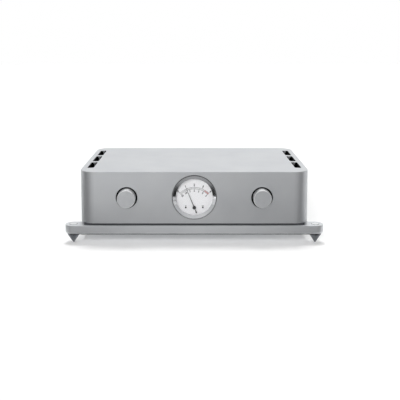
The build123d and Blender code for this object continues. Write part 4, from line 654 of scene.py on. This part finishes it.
dress(finish("shrunk_blue_sleeve", "#27345e", "#1e294c", 0.0, (0.24, 0.34), patch=10, grain=1.2, relief=0.01),
      "filter_capacitors")
dress(finish("laminated_paper_wafer", "#a67c4a", "#8c6538", 0.0, (0.42, 0.55), patch=6, grain=0.6, relief=0.008),
      "selector_switch")

# %% [markdown]
# The boards are fibreglass under green solder mask, with tracks that lie a few hundredths of a millimetre proud. The
# ring transformer is wound with wire under yellow tape, so it shows fine ribs that run out from its middle. The
# meter's own coil is enamelled copper wire, whose varnish gives it a warm brown shine.

# %% Boards and windings
def tracks(pitch):
    """Straight bands of the given pitch, broken up by square cells three pitches wide."""
    def marks(tree, spot):
        cell = add(tree, "ShaderNodeTexVoronoi", {"Vector": spot, "Scale": 1000 / (3 * pitch)}, feature="F1",
                   distance="CHEBYCHEV").outputs["Color"]
        lines = add(tree, "ShaderNodeTexWave", {"Vector": spot, "Scale": 1000 / pitch / math.tau, "Distortion": 0.0},
                    wave_type="BANDS", bands_direction="X").outputs[0]
        pick = add(tree, "ShaderNodeSeparateXYZ", {0: cell}).outputs["X"]
        return add(tree, "ShaderNodeMath", {0: lines, 1: pick}, operation="MULTIPLY").outputs[0]
    return marks


def windings(centre, turns):
    """A sine of the angle about an upright axis through centre, with that many waves in a full turn."""
    def marks(tree, spot):
        arm = add(tree, "ShaderNodeVectorMath", {0: spot, 1: centre}, operation="SUBTRACT").outputs[0]
        part = add(tree, "ShaderNodeSeparateXYZ", {0: arm}).outputs
        angle = add(tree, "ShaderNodeMath", {0: part["Y"], 1: part["X"]}, operation="ARCTAN2").outputs[0]
        phase = add(tree, "ShaderNodeMath", {0: angle, 1: float(turns)}, operation="MULTIPLY").outputs[0]
        wave = add(tree, "ShaderNodeMath", {0: phase}, operation="SINE").outputs[0]
        return add(tree, "ShaderNodeMath", {0: wave, 1: 0.5, 2: 0.5}, operation="MULTIPLY_ADD").outputs[0]
    return marks


coil_low, coil_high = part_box("transformer")
coil_centre = [(coil_low[i] + coil_high[i]) / 2 for i in range(3)]
dress(finish("green_solder_mask", "#1f5a3a", "#15472c", 0.0, (0.22, 0.34), patch=20, grain=1.0, relief=0.004,
             marks=tracks(1.2), marks_relief=0.03, marks_tone=0.6), "main_board", "io_board")
dress(finish("yellow_winding_tape", "#c9b458", "#a8913a", 0.0, (0.26, 0.38), patch=9, grain=0.8, relief=0.01,
             marks=windings(coil_centre, 120), marks_relief=0.25, marks_tone=0.5), "transformer")
dress(finish("enamelled_copper_wire", "#b86a42", "#95502e", 0.0, (0.24, 0.34), patch=3, grain=0.4, relief=0.02),
      "moving_coil")

# %% [markdown]
# The dial's print is a screen print: ink about 0.03 mm thick, pressed through a stencil, with an even matt face. Each
# line of it is a bar: a rectangle carried along a short path, closed at both ends. All paths are drawn about the
# needle's own axis.

# %% Bars of ink
hub_x, hub_z = joints["needle_swing"]["pos_m"][0], joints["needle_swing"]["pos_m"][2]
dial_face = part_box("meter_dial")[0][1]
ink_depth = 0.04 * mm


def about_hub(degrees, radius):
    """The point at that angle, clockwise from straight up, and that radius in mm from the needle's axis."""
    turn = np.radians(degrees)
    return np.stack([hub_x + radius * mm * np.sin(turn), hub_z + radius * mm * np.cos(turn)], -1)


def ink_bars(paths, width):
    """All paths as one mesh: each point carries a rectangle, width across the path and ink_depth deep."""
    spots, faces, count = [], [], 0
    for path in paths:
        along = np.gradient(path, axis=0)
        across = np.stack([-along[:, 1], along[:, 0]], -1) / np.linalg.norm(along, axis=1, keepdims=True)
        edge = across * width * mm / 2
        left, right = path - edge, path + edge
        y_front, y_back = dial_face - ink_depth, dial_face + ink_depth / 4
        loop = [(left, y_front), (right, y_front), (right, y_back), (left, y_back)]
        rows = np.stack([np.stack([p[:, 0], np.full(len(p), y), p[:, 1]], -1) for p, y in loop], 1)
        n = len(path)
        i, j = np.meshgrid(np.arange(n - 1), np.arange(4), indexing="ij")
        here, beside = 4 * i + j, 4 * i + (j + 1) % 4
        sides = np.stack([here, beside, beside + 4, here + 4], -1).reshape(-1, 4)
        ends = np.array([[3, 2, 1, 0], [4 * n - 4, 4 * n - 3, 4 * n - 2, 4 * n - 1]])
        faces.append(np.concatenate([sides, ends]) + count)
        spots.append(rows.reshape(-1, 3))
        count += 4 * n
    return np.concatenate(spots), np.concatenate(faces)


def ink_piece(name, groups, ink):
    """Joins groups of (points, faces) into one piece, on the chassis."""
    base = np.cumsum([0] + [len(points) for points, _ in groups])
    points = np.concatenate([group[0] for group in groups])
    faces = np.concatenate([group[1] + start for group, start in zip(groups, base)])
    piece = mesh_object(name, points, faces, ink)
    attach(piece, "chassis")
    print(name, "has", len(points), "points")


# %% [markdown]
# The scale has two thin arcs with ticks between them, longer ticks at the numbers, and a red arc at the loud end. Two
# plain dashes stand above the dial's screws.

# %% The dial's scale
black_ink = finish("black_screen_print", "#1f2023", "#17181a", 0.0, (0.45, 0.55), patch=4, grain=0.3, relief=0.002)
red_ink = finish("red_screen_print", "#c8574f", "#b94a43", 0.0, (0.45, 0.55), patch=4, grain=0.3, relief=0.002)
outer_r, inner_r, red_r = 38.4, 35.2, 36.8
thin_line, thick_line, dash_line, red_line = 0.45, 0.8, 0.9, 1.3
outer_tick, inner_tick = 1.8, 1.4
outer_stops, inner_stops = (-45, -22.5, 0, 22.5, 45), range(-45, 46, 15)
arc = np.linspace(-45, 45, 61)
scale_arcs = ink_bars([about_hub(arc, outer_r), about_hub(arc, inner_r)], thin_line)
fine_ticks = ink_bars([about_hub(a, np.array([inner_r, outer_r])) for a in np.arange(-45, 46, 3.75)], thin_line)
main_ticks = ink_bars([about_hub(a, np.array([outer_r, outer_r + outer_tick])) for a in outer_stops]
                      + [about_hub(a, np.array([inner_r - inner_tick, inner_r])) for a in inner_stops], thick_line)
screw_x, dash_z = 16.0 * mm, hub_z + 2.9 * mm
dashes = ink_bars([np.array([[hub_x + side * screw_x - width * mm / 2, dash_z],
                             [hub_x + side * screw_x + width * mm / 2, dash_z]])
                   for side, width in ((-1, 2.6), (1, 4.2))], dash_line)
ink_piece("dial_scale", [scale_arcs, fine_ticks, main_ticks, dashes], black_ink)
ink_piece("dial_red_arc", [ink_bars([about_hub(np.linspace(31, 46, 13), red_r)], red_line)], red_ink)

# %% [markdown]
# Numbers are text objects. Each is turned into a mesh while it still lies flat at the origin, and only then its points
# are carried to the dial or to the rear panel, so that the finished piece has its place in its mesh. The font's digits
# are 0.72 of its size high, and their strokes are made a bit bolder, as ink is that spreads.

# %% Numbers
digit_share, digit_bold = 0.72, 0.06


def number(text, height, depth):
    """Points and faces of a number, centred on the origin, flat in x and y, height in mm high, and depth thick."""
    curve = bpy.data.curves.new("number", "FONT")
    curve.body, curve.size, curve.extrude = text, height * mm / digit_share, depth / 2
    curve.align_x, curve.align_y = "CENTER", "CENTER"
    curve.resolution_u = 3
    curve.offset = digit_bold * height * mm
    source = bpy.data.objects.new("number", curve)
    scene.collection.objects.link(source)
    mesh = bpy.data.meshes.new_from_object(source.evaluated_get(bpy.context.evaluated_depsgraph_get()))
    points = np.zeros(len(mesh.vertices) * 3)
    mesh.vertices.foreach_get("co", points)
    mesh.calc_loop_triangles()
    faces = np.zeros(len(mesh.loop_triangles) * 3, int)
    mesh.loop_triangles.foreach_get("vertices", faces)
    bpy.data.objects.remove(source)
    return points.reshape(-1, 3), faces.reshape(-1, 3)


# %% [markdown]
# On the dial, the numbers stand outside the outer arc and inside the inner one, and each is turned until its foot
# points to the needle's axis.

# %% The dial's numbers
outer_number_r, outer_number_height, inner_number_r, inner_number_height = 42.9, 4.1, 31.1, 3.4


def dial_number(text, degrees, radius, height):
    """The number's x and y turned clockwise by degrees, and set on the dial at that radius from the needle's axis."""
    points, faces = number(text, height, ink_depth)
    turn = math.radians(degrees)
    x = points[:, 0] * math.cos(turn) + points[:, 1] * math.sin(turn)
    z = points[:, 1] * math.cos(turn) - points[:, 0] * math.sin(turn)
    centre = about_hub(degrees, radius)
    return np.stack([x + centre[0], dial_face - ink_depth / 2 - points[:, 2], z + centre[1]], -1), faces


outer_numbers = [dial_number(text, degrees, outer_number_r, outer_number_height)
                 for text, degrees in zip("01234", outer_stops)]
inner_numbers = [dial_number(text, degrees, inner_number_r, inner_number_height)
                 for text, degrees in zip(("20", "10", "7", "5", "3", "0", "3"), inner_stops)]
ink_piece("dial_numbers", outer_numbers + inner_numbers, black_ink)

# %% [markdown]
# The six pairs of sockets on the rear panel are counted from 1 to 6, with one number above each pair.

# %% The sockets' numbers
panel_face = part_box("rear_panel")[1][1]
socket_low, socket_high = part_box("rca_nuts")
socket_count, socket_pitch = 6, 24 * mm
socket_r = (socket_high[0] - socket_low[0] - (socket_count - 1) * socket_pitch) / 2
number_z, number_height, number_depth = socket_high[2] + 4.5 * mm, 4.0, 0.1 * mm


def rear_number(text, x):
    """The number set on the rear panel, its x turned round, because the panel faces +Y."""
    points, faces = number(text, number_height, number_depth)
    return np.stack([x - points[:, 0], panel_face + points[:, 2], number_z + points[:, 1]], -1), faces


column_x = np.linspace(socket_high[0] - socket_r, socket_low[0] + socket_r, socket_count)
ink_piece("socket_numbers", [rear_number(str(i + 1), x) for i, x in enumerate(column_x)], black_ink)
print("socket columns at", [round(x / mm, 1) for x in column_x], "mm, panel at", round(panel_face / mm, 2))
